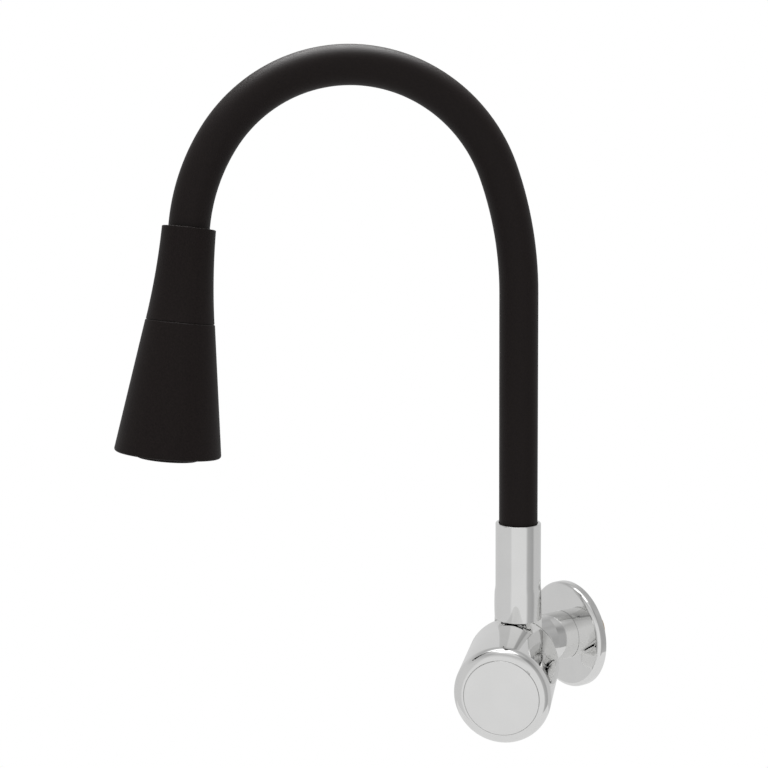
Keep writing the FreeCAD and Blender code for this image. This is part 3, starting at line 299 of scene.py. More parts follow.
def place_on(joint_name, x_axis):
    """The place of a joint, with local Z along its axis and local X along a direction square to it."""
    z_axis = joint_axis(joint_name)
    y_axis = z_axis.cross(x_axis).normalized()
    turn = Matrix((y_axis.cross(z_axis), y_axis, z_axis)).transposed().to_4x4()
    return Matrix.Translation(joints[joint_name]["pos_m"]) @ turn


WALL_PLACE = Matrix.Rotation(math.radians(90), 4, "X")
KNOB_PLACE = place_on("knob_turn", UP.cross(joint_axis("knob_turn")))
SPOUT_PLACE = place_on("spout_swivel", BEND_AXIS)
HEAD_PLACE = place_on("spray_turn", OUTWARD.cross(joint_axis("spray_turn")))
print("head axis", [round(number, 4) for number in joint_axis("spray_turn")])

# %% [markdown]
# ## How the pieces are turned
#
# Nearly every piece of a tap is made on a lathe: a profile turned about an axis. The same is done
# here. A single vertex is extruded from corner to corner of the profile, and the line is spun round
# the axis in edit mode. Round corners are arcs worked out from their radius, with enough points to
# stay round in a mirror finish. A cylinder with a bevel would be quicker, but one bevel has one
# width, and here each corner has its own.

# %% Points of a profile
ARC_STEPS = 10


def arc(centre, radius, start, end, steps=ARC_STEPS):
    """Points of a round corner as (radius, height), from one angle to another in degrees."""
    points = []
    for step in range(steps + 1):
        angle = math.radians(start + (end - start) * step / steps)
        points.append((centre[0] + radius * math.cos(angle), centre[1] + radius * math.sin(angle)))
    return points


def bow(start, end, radius, side, steps):
    """Points of a shallow arc between two corners that bulges to the left (1) or right (-1)."""
    first, last = Vector(start), Vector(end)
    chord = last - first
    across = Vector((-chord.y, chord.x)) * (side / chord.length)
    depth = math.sqrt(radius**2 - (chord.length / 2) ** 2)
    centre = (first + last) / 2 - across * depth
    begin = math.atan2(first.y - centre.y, first.x - centre.x)
    turn = (last - centre).angle_signed(first - centre)
    return [
        (
            centre.x + radius * math.cos(begin + turn * step / steps),
            centre.y + radius * math.sin(begin + turn * step / steps),
        )
        for step in range(steps + 1)
    ]


print("points in a round corner", len(arc((0, 0), 1, 0, 90)))

# %% The lathe
ROUND_STEPS = 144
MERGE = 1e-7


def only(piece):
    """Selects one piece alone."""
    bpy.ops.object.select_all(action="DESELECT")
    piece.select_set(True)
    bpy.context.view_layer.objects.active = piece


def drawn_line(name, profile):
    """A chain of edges through points in millimetres, given as (radius, height)."""
    corners = [Vector((radius * MM, 0, height * MM)) for radius, height in profile]
    bpy.ops.object.select_all(action="DESELECT")
    bpy.ops.mesh.primitive_plane_add(size=MM)
    piece = bpy.context.object
    piece.name = name
    bpy.ops.object.mode_set(mode="EDIT")
    bpy.ops.mesh.select_all(action="SELECT")
    bpy.ops.mesh.merge(type="CENTER")
    bpy.ops.transform.translate(value=corners[0])
    for here, there in zip(corners, corners[1:]):
        bpy.ops.mesh.extrude_vertices_move(TRANSFORM_OT_translate={"value": there - here})
    bpy.ops.mesh.select_all(action="SELECT")
    return piece


def lathe(name, profile, steps=ROUND_STEPS):
    """A piece turned about Z from the outline of its half section."""
    piece = drawn_line(name, profile + profile[:1])
    bpy.ops.mesh.spin(steps=steps, angle=math.tau, center=(0, 0, 0), axis=(0, 0, 1))
    bpy.ops.mesh.select_all(action="SELECT")
    bpy.ops.mesh.remove_doubles(threshold=MERGE)
    bpy.ops.mesh.dissolve_degenerate(threshold=MERGE)
    bpy.ops.mesh.select_all(action="SELECT")
    bpy.ops.mesh.normals_make_consistent(inside=False)
    bpy.ops.object.mode_set(mode="OBJECT")
    return piece


def settle(piece, place):
    """Lays the piece at its place and writes the place into its mesh."""
    piece.matrix_world = place @ piece.matrix_world
    only(piece)
    bpy.ops.object.transform_apply(location=True, rotation=True, scale=True)
    return piece


def smooth(piece, angle=35):
    """Shades the piece smooth, apart from edges that are sharper than an angle in degrees."""
    only(piece)
    bpy.ops.object.shade_smooth_by_angle(angle=math.radians(angle))


# %% [markdown]
# ## How they are cut and dressed
#
# Holes and notches are made on the bench with a drill or a cutter. Here a round cutter is laid where
# it is needed, and a boolean takes its shape out of the piece, which keeps the rest of the turned
# surface as it was. Insetting faces would be lighter, but a hole across a round wall has no flat
# face to inset. A finished piece gets its material and the body that it moves with, and the imported
# parts that it stands for are hidden.

# %% Cutting helpers
DRILL_STEPS = 48


def combine(piece, tool, operation):
    """Cuts the piece with a second one, or keeps what both share. The tool is used up."""
    only(piece)
    bpy.ops.object.modifier_add(type="BOOLEAN")
    modifier = piece.modifiers[-1]
    modifier.operation = operation
    modifier.solver = "EXACT"
    modifier.object = tool
    bpy.ops.object.modifier_apply(modifier=modifier.name)
    bpy.data.objects.remove(tool)


def drill(radius, length, place):
    """A round cutter that stands on a place, in millimetres."""
    bpy.ops.object.select_all(action="DESELECT")
    bpy.ops.mesh.primitive_cylinder_add(
        vertices=DRILL_STEPS, radius=radius * MM, depth=length * MM, location=(0, 0, length * MM / 2)
    )
    return settle(bpy.context.object, place)


def along(place, x=0.0, y=0.0, z=0.0):
    """The place moved by millimetres along its own axes."""
    return place @ Matrix.Translation((x * MM, y * MM, z * MM))


# %% Dressing helper
def dress(piece, material, body, slot_name, *replaced):
    """Gives a finished piece its material and its body, and hides the parts it stands for. The slot name is not
    used.
    """
    piece.data.materials.clear()
    piece.data.materials.append(material)
    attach(piece, body)
    if replaced:
        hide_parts(*replaced)
    print(piece.name, len(piece.data.polygons), "faces")


# %% [markdown]
# ## Chrome
#
# Polished chrome on cast brass is close to a perfect mirror, but never quite flat: the casting
# under it is hand-polished, so reflections waver by a hair, and the shine varies a little where
# hands and cloths have been. A fully smooth metal would be simpler, but it would look computed
# instead of polished. So a large soft noise bends the surface slightly, and a finer one varies the
# roughness.

# %% Pattern helpers
NOISE_LOW = 0.3
NOISE_HIGH = 0.7


def object_coordinates(tree):
    """The coordinates that stay with a piece when it moves."""
    return tree.nodes.new("ShaderNodeTexCoord").outputs["Object"]


def noise(tree, coordinates, scale, detail, roughness=0.5):
    """A cloudy pattern of values round one half."""
    made = node(tree, "TexNoise", Scale=scale, Detail=detail, Roughness=roughness)
    tree.links.new(coordinates, made.inputs["Vector"])
    return made.outputs["Fac"]


def spread(tree, value, low, high):
    """Maps the usual range of a noise to a range of its own."""
    made = node(tree, "MapRange", From_Min=NOISE_LOW, From_Max=NOISE_HIGH, To_Min=low, To_Max=high)
    tree.links.new(value, made.inputs["Value"])
    return made.outputs["Result"]


def two_tone(tree, value, first, second, start=NOISE_LOW, end=NOISE_HIGH):
    """A colour between two, as a pattern goes from start to end."""
    made = tree.nodes.new("ShaderNodeValToRGB")
    made.color_ramp.elements[0].position = start
    made.color_ramp.elements[1].position = end
    made.color_ramp.elements[0].color = (*first, 1)
    made.color_ramp.elements[1].color = (*second, 1)
    tree.links.new(value, made.inputs["Fac"])
    return made.outputs["Color"]


def bump(tree, height, strength, distance, shader):
    """Lets a pattern raise and sink the surface by up to a distance in metres."""
    made = node(tree, "Bump", Strength=strength, Distance=distance)
    tree.links.new(height, made.inputs["Height"])
    tree.links.new(made.outputs["Normal"], shader.inputs["Normal"])


# %% The chrome finish
CHROME_DARKER = (0.798, 0.798, 0.792)
CHROME_LIGHTER = (0.835, 0.834, 0.828)

chrome, tree, output = new_material("polished_chrome")
shader = node(tree, "BsdfPrincipled", Metallic=1.0)
coordinates = object_coordinates(tree)
clouds = noise(tree, coordinates, scale=55.0, detail=3.0)
tree.links.new(two_tone(tree, clouds, CHROME_DARKER, CHROME_LIGHTER), shader.inputs["Base Color"])
wear = noise(tree, coordinates, scale=90.0, detail=6.0)
tree.links.new(spread(tree, wear, low=0.03, high=0.09), shader.inputs["Roughness"])
waves = noise(tree, coordinates, scale=38.0, detail=1.0)
bump(tree, waves, strength=0.25, distance=0.00012, shader=shader)
tree.links.new(shader.outputs["BSDF"], output.inputs["Surface"])

# %% [markdown]
# ## The spout tube
#
# The tube is one turned piece: a slightly swollen collar at the foot, a soft step, and a straight
# upper part with a rounded lip round the arm. A cylinder with a bevel would lose the soft step,
# which bends every reflection. Towards the wall the collar has a small hole for the grub screw that
# holds the tube on its spigot. It is drilled by a boolean, as on the real tube.

# %% Spout tube
TUBE_R = 11.8
TUBE_HEIGHT = 50.7
TUBE_BORE = 9.6
SOCKET_R = 10.3
LEDGE_LOW = 24.0
LEDGE_R = 8.0
SOCKET_FLOOR = 30.0
LIP_ROUND = 0.6
COLLAR_FOOT_R = 12.2
COLLAR_R = 12.3
COLLAR_SWELL = 140
COLLAR_HEIGHT = 12.6
STEP_RISE = 5.3
FOOT_ROUND = 0.25
GRUB_HOLE_R = 2.0
GRUB_HEIGHT = 10.6
GRUB_START = 7.8

step_in = COLLAR_R - TUBE_R
step_bend = (STEP_RISE**2 + step_in**2) / (4 * step_in)
step_middle = ((COLLAR_R + TUBE_R) / 2, COLLAR_HEIGHT + STEP_RISE / 2)
tube_profile = [(TUBE_BORE, 0)]
tube_profile += arc((COLLAR_FOOT_R - FOOT_ROUND, FOOT_ROUND), FOOT_ROUND, -90, 0, steps=5)
collar_top = (COLLAR_R, COLLAR_HEIGHT)
tube_profile += bow((COLLAR_FOOT_R, 2 * FOOT_ROUND), collar_top, COLLAR_SWELL, -1, steps=12)
tube_profile += bow(collar_top, step_middle, step_bend, -1, steps=8)[1:]
tube_profile += bow(step_middle, (TUBE_R, COLLAR_HEIGHT + STEP_RISE), step_bend, 1, steps=8)[1:]
tube_profile += arc((TUBE_R - LIP_ROUND, TUBE_HEIGHT - LIP_ROUND), LIP_ROUND, 0, 90, steps=8)
tube_profile += [(SOCKET_R, TUBE_HEIGHT), (SOCKET_R, SOCKET_FLOOR), (LEDGE_R, SOCKET_FLOOR)]
tube_profile += [(LEDGE_R, LEDGE_LOW), (TUBE_BORE, LEDGE_LOW)]
spout_tube = settle(lathe("tube_shell", tube_profile), SPOUT_PLACE)
to_the_wall = Matrix.Rotation(math.radians(-90), 4, "X")
grub_place = along(SPOUT_PLACE, y=GRUB_START, z=GRUB_HEIGHT) @ to_the_wall
combine(spout_tube, drill(GRUB_HOLE_R, COLLAR_R, grub_place), "DIFFERENCE")
smooth(spout_tube)
dress(spout_tube, chrome, "spout", "chrome", "spout_tube")

# %% [markdown]
# ## The knob
#
# The knob is a short drum with a broad round edge towards the user and an open back that turns round
# the valve's barrel. A cover cap sits in its front and stands out by a quarter of a millimetre, and a
# small notch beside the cap lets a screwdriver lift it. Drum and cap could be one turned piece with a
# groove, but the cap comes off, so it is a piece of its own. The notch is cut with a round cutter.

# %% Knob shell
KNOB_R = 24.0
KNOB_LEN = 53.0
KNOB_WALL = 2.8
KNOB_REAR_ROUND = 0.8
KNOB_FRONT_ROUND = 5.3
KNOB_FRONT_ANGLE = 88.5
WEB_START = 40.0
WEB_THICK = 3.0
HUB_START = 29.5
HUB_BORE = 7.0
HUB_WALL = 2.5
SCREW_HOLE_R = 2.7
CAP_R = 18.55
CAP_GAP = 0.05
RECESS_ROUND = 0.2
CAP_RECESS = 3.0
SNAP_R = 16.5
SNAP_FIT = 0.05
NOTCH_R = 1.3
NOTCH_DEPTH = 1.4
NOTCH_ANGLE = 46

recess_floor = KNOB_LEN - CAP_RECESS
recess_r = CAP_R + CAP_GAP
front_ring = KNOB_R - KNOB_FRONT_ROUND
knob_profile = [(KNOB_R - KNOB_WALL, 0)]
knob_profile += arc((KNOB_R - KNOB_REAR_ROUND, KNOB_REAR_ROUND), KNOB_REAR_ROUND, -90, 0)
front_centre = (front_ring, KNOB_LEN - KNOB_FRONT_ROUND)
knob_profile += arc(front_centre, KNOB_FRONT_ROUND, 0, KNOB_FRONT_ANGLE, steps=24)
recess_edge = (recess_r + RECESS_ROUND, KNOB_LEN - RECESS_ROUND)
knob_profile += arc(recess_edge, RECESS_ROUND, 90, 180, steps=5)
knob_profile += [(recess_r, recess_floor)]
knob_profile += [(SNAP_R + SNAP_FIT, recess_floor), (SNAP_R + SNAP_FIT, WEB_START + WEB_THICK)]
knob_profile += [(SCREW_HOLE_R, WEB_START + WEB_THICK), (SCREW_HOLE_R, WEB_START)]
knob_profile += [(HUB_BORE, WEB_START), (HUB_BORE, HUB_START), (HUB_BORE + HUB_WALL, HUB_START)]
knob_profile += [(HUB_BORE + HUB_WALL, WEB_START), (KNOB_R - KNOB_WALL, WEB_START)]
knob_shell = settle(lathe("knob_drum", knob_profile), KNOB_PLACE)
notch_turn = Matrix.Rotation(math.radians(NOTCH_ANGLE), 4, "Z")
notch_place = along(KNOB_PLACE @ notch_turn, x=recess_r, z=KNOB_LEN - NOTCH_DEPTH)
combine(knob_shell, drill(NOTCH_R, 2 * NOTCH_DEPTH, notch_place), "DIFFERENCE")
smooth(knob_shell)
dress(knob_shell, chrome, "knob", "chrome", "knob_shell")

# %% Cover cap
CAP_RISE = 0.25
CAP_ROUND = 0.45
CAP_CROWN = 0.06
SNAP_WALL = 1.5
SNAP_LEN = 3.5

cap_top = KNOB_LEN + CAP_RISE
cap_profile = [(0, recess_floor), (SNAP_R - SNAP_WALL, recess_floor)]
cap_profile += [(SNAP_R - SNAP_WALL, recess_floor - SNAP_LEN), (SNAP_R, recess_floor - SNAP_LEN)]
cap_profile += [(SNAP_R, recess_floor), (CAP_R, recess_floor)]
cap_profile += arc((CAP_R - CAP_ROUND, cap_top - CAP_ROUND), CAP_ROUND, 0, 90, steps=6)
crown_bend = (CAP_R**2 + CAP_CROWN**2) / (2 * CAP_CROWN)
crown_top = (0, cap_top + CAP_CROWN)
cap_profile += bow((CAP_R - CAP_ROUND, cap_top), crown_top, crown_bend, -1, steps=12)[1:]
knob_cap = settle(lathe("cover_cap", cap_profile), KNOB_PLACE)
smooth(knob_cap)
dress(knob_cap, chrome, "knob", "chrome", "knob_cap")

# %% [markdown]
# ## Flange and sleeve
#
# A thin pressed flange hides the hole in the wall, and a plain sleeve hides the rest of the stem.
# The flange is sheet metal, so its rim is rolled over in a round of a constant radius, outside and
# inside. A solid disc with a bevel would look the same from the front, but not from the wall. Flange
# and sleeve are turned about the inlet's axis, which runs straight out of the wall.

# %% Wall flange and sleeve
FLANGE_R = 28.0
FLANGE_DEPTH = 5.2
FLANGE_WALL = 1.2
FLANGE_ROUND = 2.2
STEM_R = 11.2
SLEEVE_IN = 0.2
SLEEVE_WALL = 1.15
SLEEVE_FIT = 0.1
SLEEVE_START = 1.0
SLEEVE_END = 19.0
SLEEVE_ROUND = 0.15

sleeve_r = STEM_R + SLEEVE_IN + SLEEVE_WALL
flange_bore = sleeve_r + SLEEVE_FIT
rim = (FLANGE_R - FLANGE_ROUND, FLANGE_DEPTH - FLANGE_ROUND)
flange_profile = [(flange_bore, FLANGE_DEPTH - FLANGE_WALL), (flange_bore, FLANGE_DEPTH)]
flange_profile += arc(rim, FLANGE_ROUND, 90, 0, steps=16)
flange_profile += [(FLANGE_R, 0), (FLANGE_R - FLANGE_WALL, 0)]
flange_profile += arc(rim, FLANGE_ROUND - FLANGE_WALL, 0, 90, steps=8)
wall_flange = settle(lathe("cover_flange", flange_profile), WALL_PLACE)
smooth(wall_flange)
dress(wall_flange, chrome, "base", "chrome", "wall_flange")

sleeve_profile = [(sleeve_r - SLEEVE_WALL, SLEEVE_START), (sleeve_r, SLEEVE_START)]
sleeve_rim = (sleeve_r - SLEEVE_ROUND, SLEEVE_END - SLEEVE_ROUND)
sleeve_profile += arc(sleeve_rim, SLEEVE_ROUND, 0, 90, steps=4)
sleeve_profile += [(sleeve_r - SLEEVE_WALL, SLEEVE_END)]
stem_sleeve = settle(lathe("cover_sleeve", sleeve_profile), WALL_PLACE)
smooth(stem_sleeve)
dress(stem_sleeve, chrome, "base", "chrome", "stem_sleeve")

# %% [markdown]
# ## The valve body
#
# The body is a casting with several turned faces that run into one another. Its solid is already
# the right shape, and building it again from turned pieces and booleans would gain nothing. So its
# mesh is copied, the loose triangles are joined, and it is shaded smooth. Only the inlet is poor
# there: the solid has a plain shaft where the real one has a pipe thread. The shaft is cut off at
# the wall, and a threaded end takes its place.

# %% Valve body
THREAD_END = 0.55
LOOSE_MERGE = 1e-6

body_mesh = nodes["valve_body"].data.copy()
valve_body = bpy.data.objects.new("valve_casting", body_mesh)
bpy.context.scene.collection.objects.link(valve_body)
only(valve_body)
bpy.ops.mesh.customdata_custom_splitnormals_clear()
bpy.ops.object.mode_set(mode="EDIT")
bpy.ops.mesh.select_all(action="SELECT")
bpy.ops.mesh.remove_doubles(threshold=LOOSE_MERGE)
bpy.ops.mesh.bisect(
    plane_co=(0, -THREAD_END * MM, 0), plane_no=(0, 1, 0), use_fill=True, clear_outer=True
)
bpy.ops.object.mode_set(mode="OBJECT")
smooth(valve_body)
dress(valve_body, chrome, "base", "chromed_brass", "valve_body")

# %% [markdown]
# ## The pipe thread
#
# The inlet screws into the fitting in the wall with a half inch pipe thread: fourteen turns to the
# inch, about 1.16 mm deep, with rounded crests and roots. A thread is one groove that climbs, so
# rings would be wrong. A short outline of one tooth goes through a Screw modifier, the rod is
# trimmed flat at both ends, and what it shares with a chamfered blank with a bore is kept.

# %% Threaded inlet
THREAD_R = 10.478
THREAD_PITCH = 1.814
THREAD_DEPTH = 1.162
THREAD_SOFT = 0.12
THREAD_LEN = 16.0
THREAD_CHAMFER = 1.0
THREAD_MARGIN = 0.1
THREAD_TURNS = 12
THREAD_SKIP = 1.5
THREAD_STEPS = 96
THREAD_SHARPEST = 50
INLET_R = 5.5

root = THREAD_R - THREAD_DEPTH
low_flank = root + THREAD_SOFT
high_flank = THREAD_R - THREAD_SOFT
tooth_radii = (root, low_flank, high_flank, THREAD_R, high_flank, low_flank, root)
tooth_shares = (0, 0.14, 0.44, 0.5, 0.56, 0.86, 1)
tooth = [(radius, share * THREAD_PITCH) for radius, share in zip(tooth_radii, tooth_shares)]
thread = drawn_line("inlet_thread", tooth)
bpy.ops.object.mode_set(mode="OBJECT")
bpy.ops.object.modifier_add(type="SCREW")
screw = thread.modifiers[-1]
screw.screw_offset = THREAD_PITCH * MM
screw.iterations = THREAD_TURNS
screw.steps = THREAD_STEPS
screw.render_steps = THREAD_STEPS
screw.use_merge_vertices = True
bpy.ops.object.modifier_apply(modifier=screw.name)

# %% Trimming the thread
thread_low = THREAD_SKIP * THREAD_PITCH
thread_high = thread_low + THREAD_LEN + THREAD_END
bpy.ops.object.mode_set(mode="EDIT")
for height, way in ((thread_low, -1), (thread_high, 1)):
    bpy.ops.mesh.select_all(action="SELECT")
    bpy.ops.mesh.remove_doubles(threshold=LOOSE_MERGE)
    bpy.ops.mesh.bisect(
        plane_co=(0, 0, height * MM), plane_no=(0, 0, way), use_fill=True, clear_outer=True
    )
bpy.ops.mesh.select_all(action="SELECT")
bpy.ops.mesh.normals_make_consistent(inside=False)
bpy.ops.object.mode_set(mode="OBJECT")
settle(thread, Matrix.Translation((0, 0, -(thread_low + THREAD_LEN) * MM)))
blank_r = THREAD_R + THREAD_MARGIN
blank_profile = [(INLET_R, -THREAD_LEN), (THREAD_R - THREAD_CHAMFER, -THREAD_LEN)]
blank_profile += [(blank_r, THREAD_MARGIN + THREAD_CHAMFER - THREAD_LEN)]
blank_profile += [(blank_r, THREAD_END), (INLET_R, THREAD_END)]
combine(thread, lathe("thread_blank", blank_profile, THREAD_STEPS), "INTERSECT")
settle(thread, WALL_PLACE)
smooth(thread, THREAD_SHARPEST)
print(thread.name, len(thread.data.polygons), "faces")

# %% [markdown]
# ## The arm
#
# The arm is a silicone sleeve over a wound steel core, with the water hose inside. It comes straight
# out of the spout tube, leans forward, turns over in the arch and falls to the head. A curve with a
# round bevel would also do, but its end caps and inner wall are clumsy. Here a flat ring is pulled
# straight up and then spun round the centre of each bend in turn, so every layer is a closed tube.

# %% Arm helpers
HOSE_FOOT = 33.0
RISER_TOP = 170.1
# Each bend's name, its radius in millimetres and its angle in degrees.
BENDS = (("lean", 181.0, 20.0), ("crest", 79.7, 70.0), ("fall", 78.5, 56.9), ("drop", 98.7, 26.5))
SIDE_ANGLE = 2.6
HEAD_RUN = 17.3
HEAD_SEAT = 16.0
BEND_STEP = 1.4

head_seat = HEAD_PLACE @ Vector((0, 0, HEAD_SEAT * MM))


def arm_ring(name, outer, inner, sides):
    """A flat ring in the socket of the spout tube, in edit mode and ready to be pulled up."""
    bpy.ops.object.select_all(action="DESELECT")
    bpy.ops.mesh.primitive_circle_add(vertices=sides, radius=outer * MM, fill_type="NGON")
    ring = bpy.context.object
    ring.name = name
    settle(ring, along(SPOUT_PLACE, z=HOSE_FOOT))
    bpy.ops.object.mode_set(mode="EDIT")
    bpy.ops.mesh.select_all(action="SELECT")
    bpy.ops.mesh.inset(thickness=(outer - inner) * MM)
    bpy.ops.mesh.delete(type="FACE")
    bpy.ops.mesh.select_all(action="SELECT")
    return ring


def arm_layer(name, outer, inner, sides):
    """A tube with its wall, from the socket in the spout tube to the seat in the head."""
    tube = arm_ring(name, outer, inner, sides)
    point = SPOUT_PLACE @ Vector((0, 0, HOSE_FOOT * MM))
    heading = UP.copy()
    side = OUTWARD.copy()
    rise = heading * (RISER_TOP - HOSE_FOOT) * MM
    bpy.ops.mesh.extrude_region_move(TRANSFORM_OT_translate={"value": rise})
    point += rise
    for bend, radius, degrees in BENDS:
        if bend == "fall":
            side = Quaternion(heading, math.radians(SIDE_ANGLE)) @ side
        axis = heading.cross(side)
        centre = point + side * radius * MM
        steps = round(degrees / BEND_STEP)
        bpy.ops.mesh.spin(steps=steps, angle=math.radians(degrees), center=centre, axis=-axis)
        turn = Quaternion(axis, math.radians(degrees))
        point = centre + turn @ (point - centre)
        heading = turn @ heading
        side = turn @ side
    run = heading * HEAD_RUN * MM
    bpy.ops.mesh.extrude_region_move(TRANSFORM_OT_translate={"value": run})
    bpy.ops.mesh.select_all(action="SELECT")
    bpy.ops.mesh.remove_doubles(threshold=MERGE)
    bpy.ops.mesh.normals_make_consistent(inside=False)
    bpy.ops.object.mode_set(mode="OBJECT")
    smooth(tube)
    print(name, "ends", round((point + run - head_seat).length / MM, 3), "mm from its seat in the head")
    return tube


def dress_arm(tube, material, replaced):
    """The arm bends between the spout and the head, so it has no parent."""
    tube.data.materials.append(material)
    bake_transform(tube)
    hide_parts(replaced)
    print(tube.name, len(tube.data.polygons), "faces")


# %% [markdown]
# ## Matt black silicone
#
# The sleeve is dark silicone with a dry, powdery surface. It is not quite even: a very fine speckle
# and a grain that catches a soft light along the top of the arch. A speckled colour, a rough surface
# that varies a little and a fine bump give that. A layer of sheen would do too, but it would lighten
# every edge. The shine is weak, so the sleeve stays nearly black.

# %% The soft black finish
NEARLY_BLACK = (0.0085, 0.0063, 0.0060)
DARK_SPECK = [0.75 * channel for channel in NEARLY_BLACK]
LIGHT_SPECK = [1.3 * channel for channel in NEARLY_BLACK]


def soft_black(name, roughness, grain, depth, shine):
    """A matt black with a fine speckle."""
    material, tree, output = new_material(name)
    shader = node(tree, "BsdfPrincipled", Specular_IOR_Level=shine)
    coordinates = object_coordinates(tree)
    speckle = noise(tree, coordinates, grain, detail=2.0, roughness=0.7)
    tint = two_tone(tree, speckle, DARK_SPECK, LIGHT_SPECK, start=0.38, end=0.64)
    tree.links.new(tint, shader.inputs["Base Color"])
    patches = noise(tree, coordinates, scale=45.0, detail=3.0)
    dullness = spread(tree, patches, roughness - 0.03, roughness + 0.04)
    tree.links.new(dullness, shader.inputs["Roughness"])
    bump(tree, speckle, strength=0.35, distance=depth, shader=shader)
    tree.links.new(shader.outputs["BSDF"], output.inputs["Surface"])
    return material


silicone_sleeve = soft_black("silicone_sleeve", roughness=0.46, grain=2600.0, depth=0.00003, shine=0.09)

# %% Sleeve of the arm
HOSE_R = 10.0
SLEEVE_THICK = 2.1

arm_sleeve = arm_layer("arm_sleeve", HOSE_R, HOSE_R - SLEEVE_THICK, sides=96)
dress_arm(arm_sleeve, silicone_sleeve, "hose_sleeve")
black_pieces.objects.link(arm_sleeve)

# %% [markdown]
# ## Metals and other inner finishes
#
# Most inner pieces are hidden, but each still gets the finish it has on the bench. Turned brass and
# steel have fine rings from the tool. A wave pattern would draw them too evenly, so a stretched noise
# does it. Moulded plastic and ceramic are even, with a faint grain, and rubber is dull with fine pits.

# %% Helpers for inner finishes
METAL_GRAIN = 160.0
METAL_STRETCH = (1.0, 1.0, 12.0)


def turned_metal(name, first, second, roughness):
    """Metal with a fine machined grain."""
    material, tree, output = new_material(name)
    shader = node(tree, "BsdfPrincipled", Metallic=1.0)
    coordinates = object_coordinates(tree)
    stretch = node(tree, "Mapping", Scale=METAL_STRETCH)
    tree.links.new(coordinates, stretch.inputs["Vector"])
    grooves = noise(tree, stretch.outputs["Vector"], METAL_GRAIN, detail=4.0)
    tree.links.new(two_tone(tree, grooves, first, second), shader.inputs["Base Color"])
    dullness = spread(tree, grooves, roughness - 0.06, roughness + 0.08)
    tree.links.new(dullness, shader.inputs["Roughness"])
    bump(tree, grooves, strength=0.15, distance=0.00003, shader=shader)
    tree.links.new(shader.outputs["BSDF"], output.inputs["Surface"])
    return material


def moulded(name, first, second, roughness, grain, depth):
    """Plastic, ceramic or rubber with a fine grain."""
    material, tree, output = new_material(name)
    shader = tree.nodes.new("ShaderNodeBsdfPrincipled")
    grains = noise(tree, object_coordinates(tree), grain, detail=3.0, roughness=0.6)
    tree.links.new(two_tone(tree, grains, first, second), shader.inputs["Base Color"])
    dullness = spread(tree, grains, roughness - 0.04, roughness + 0.05)
    tree.links.new(dullness, shader.inputs["Roughness"])
    bump(tree, grains, strength=0.3, distance=depth, shader=shader)
    tree.links.new(shader.outputs["BSDF"], output.inputs["Surface"])
    return material


# %% Inner finishes
# The darker and the lighter tint of each finish, and its roughness.
METALS = {
    "turned_brass": ((0.66, 0.47, 0.20), (0.76, 0.57, 0.27), 0.24),
    "satin_steel": ((0.52, 0.52, 0.53), (0.62, 0.62, 0.63), 0.28),
}
# The same for what is moulded, and the scale of its grain and its depth in metres.
MOULDED = {
    "seal_rubber": ((0.012, 0.012, 0.012), (0.022, 0.022, 0.022), 0.6, 900.0, 0.00003),
    "white_plastic": ((0.78, 0.78, 0.76), (0.84, 0.84, 0.82), 0.4, 500.0, 0.00001),
    "lapped_ceramic": ((0.84, 0.82, 0.77), (0.9, 0.89, 0.85), 0.22, 700.0, 0.00001),
    "inner_hose": ((0.66, 0.66, 0.63), (0.74, 0.74, 0.71), 0.45, 400.0, 0.00002),
    "nozzle_silicone": ((0.055, 0.055, 0.056), (0.08, 0.08, 0.081), 0.5, 700.0, 0.00002),
}
finishes = {name: turned_metal(name, *values) for name, values in METALS.items()}
for name, values in MOULDED.items():
    finishes[name] = moulded(name, *values)
brass = finishes["turned_brass"]
dress(thread, brass, "base", "brass")

# %% [markdown]
# ## The wound core
#
# Inside the sleeve a flat steel strip is wound into a tight coil that holds the arm's shape and
# still lets it be bent. It could be wound as a real strip, but it hardly ever shows, so a tube with
# the turns in its material is enough: rings across the arm, with painted shade in the groove where one
# turn meets the next.

# %% The wound finish
# The darker tint is painted shade in the grooves where one turn of the strip meets the next.
STRIP_SEAM_SHADE = (0.16, 0.16, 0.165)
STRIP_LIGHT = (0.42, 0.42, 0.43)

wound_steel, tree, output = new_material("wound_steel")
shader = node(tree, "BsdfPrincipled", Metallic=1.0, Roughness=0.35)
windings = node(tree, "TexWave", Scale=90.0)
windings.wave_type = "RINGS"
windings.rings_direction = "SPHERICAL"
tree.links.new(object_coordinates(tree), windings.inputs["Vector"])
# Rings of steel colour with painted shade along the seams between turns.
strip = two_tone(tree, windings.outputs["Fac"], STRIP_SEAM_SHADE, STRIP_LIGHT, start=0.1, end=0.45)
tree.links.new(strip, shader.inputs["Base Color"])
bump(tree, windings.outputs["Fac"], strength=0.6, distance=0.0002, shader=shader)
tree.links.new(shader.outputs["BSDF"], output.inputs["Surface"])

# %% Inner layers of the arm
CORE_R = 7.7
CORE_WALL = 1.4
WATER_R = 6.0
WATER_BORE = 4.2

arm_core = arm_layer("arm_core", CORE_R, CORE_R - CORE_WALL, sides=48)
dress_arm(arm_core, wound_steel, "gooseneck_core")
arm_hose = arm_layer("arm_hose", WATER_R, WATER_BORE, sides=48)
dress_arm(arm_hose, finishes["inner_hose"], "water_hose")

# %% [markdown]
# ## The spray head
#
# The head is two moulded shells. The upper one is slim and slightly hollow-sided, and the lower one
# is a bell that turns under it. Where they meet, a ring on the bell reaches up inside the upper
# shell, so that the seam is a fine groove with no light behind it. A dark line in the material
# would be simpler, but two shells that turn against each other need a real seam. Both are turned,
# with the rounds that a mould leaves.

# %% Upper shell of the head
HEAD_TOP_R = 13.0
HEAD_TOP_ROUND = 0.5
HEAD_SEAM_R = 16.5
HEAD_SWELL = 352
HEAD_SEAM = 45.3
HEAD_WALL = 2.0
HEAD_CAVITY_R = 11.6
HEAD_LEDGE = 18.0
HEAD_ROOM = 21.0
HEAD_SHANK_R = 6.6

black_plastic = soft_black("black_plastic", roughness=0.5, grain=1900.0, depth=0.00004, shine=0.07)

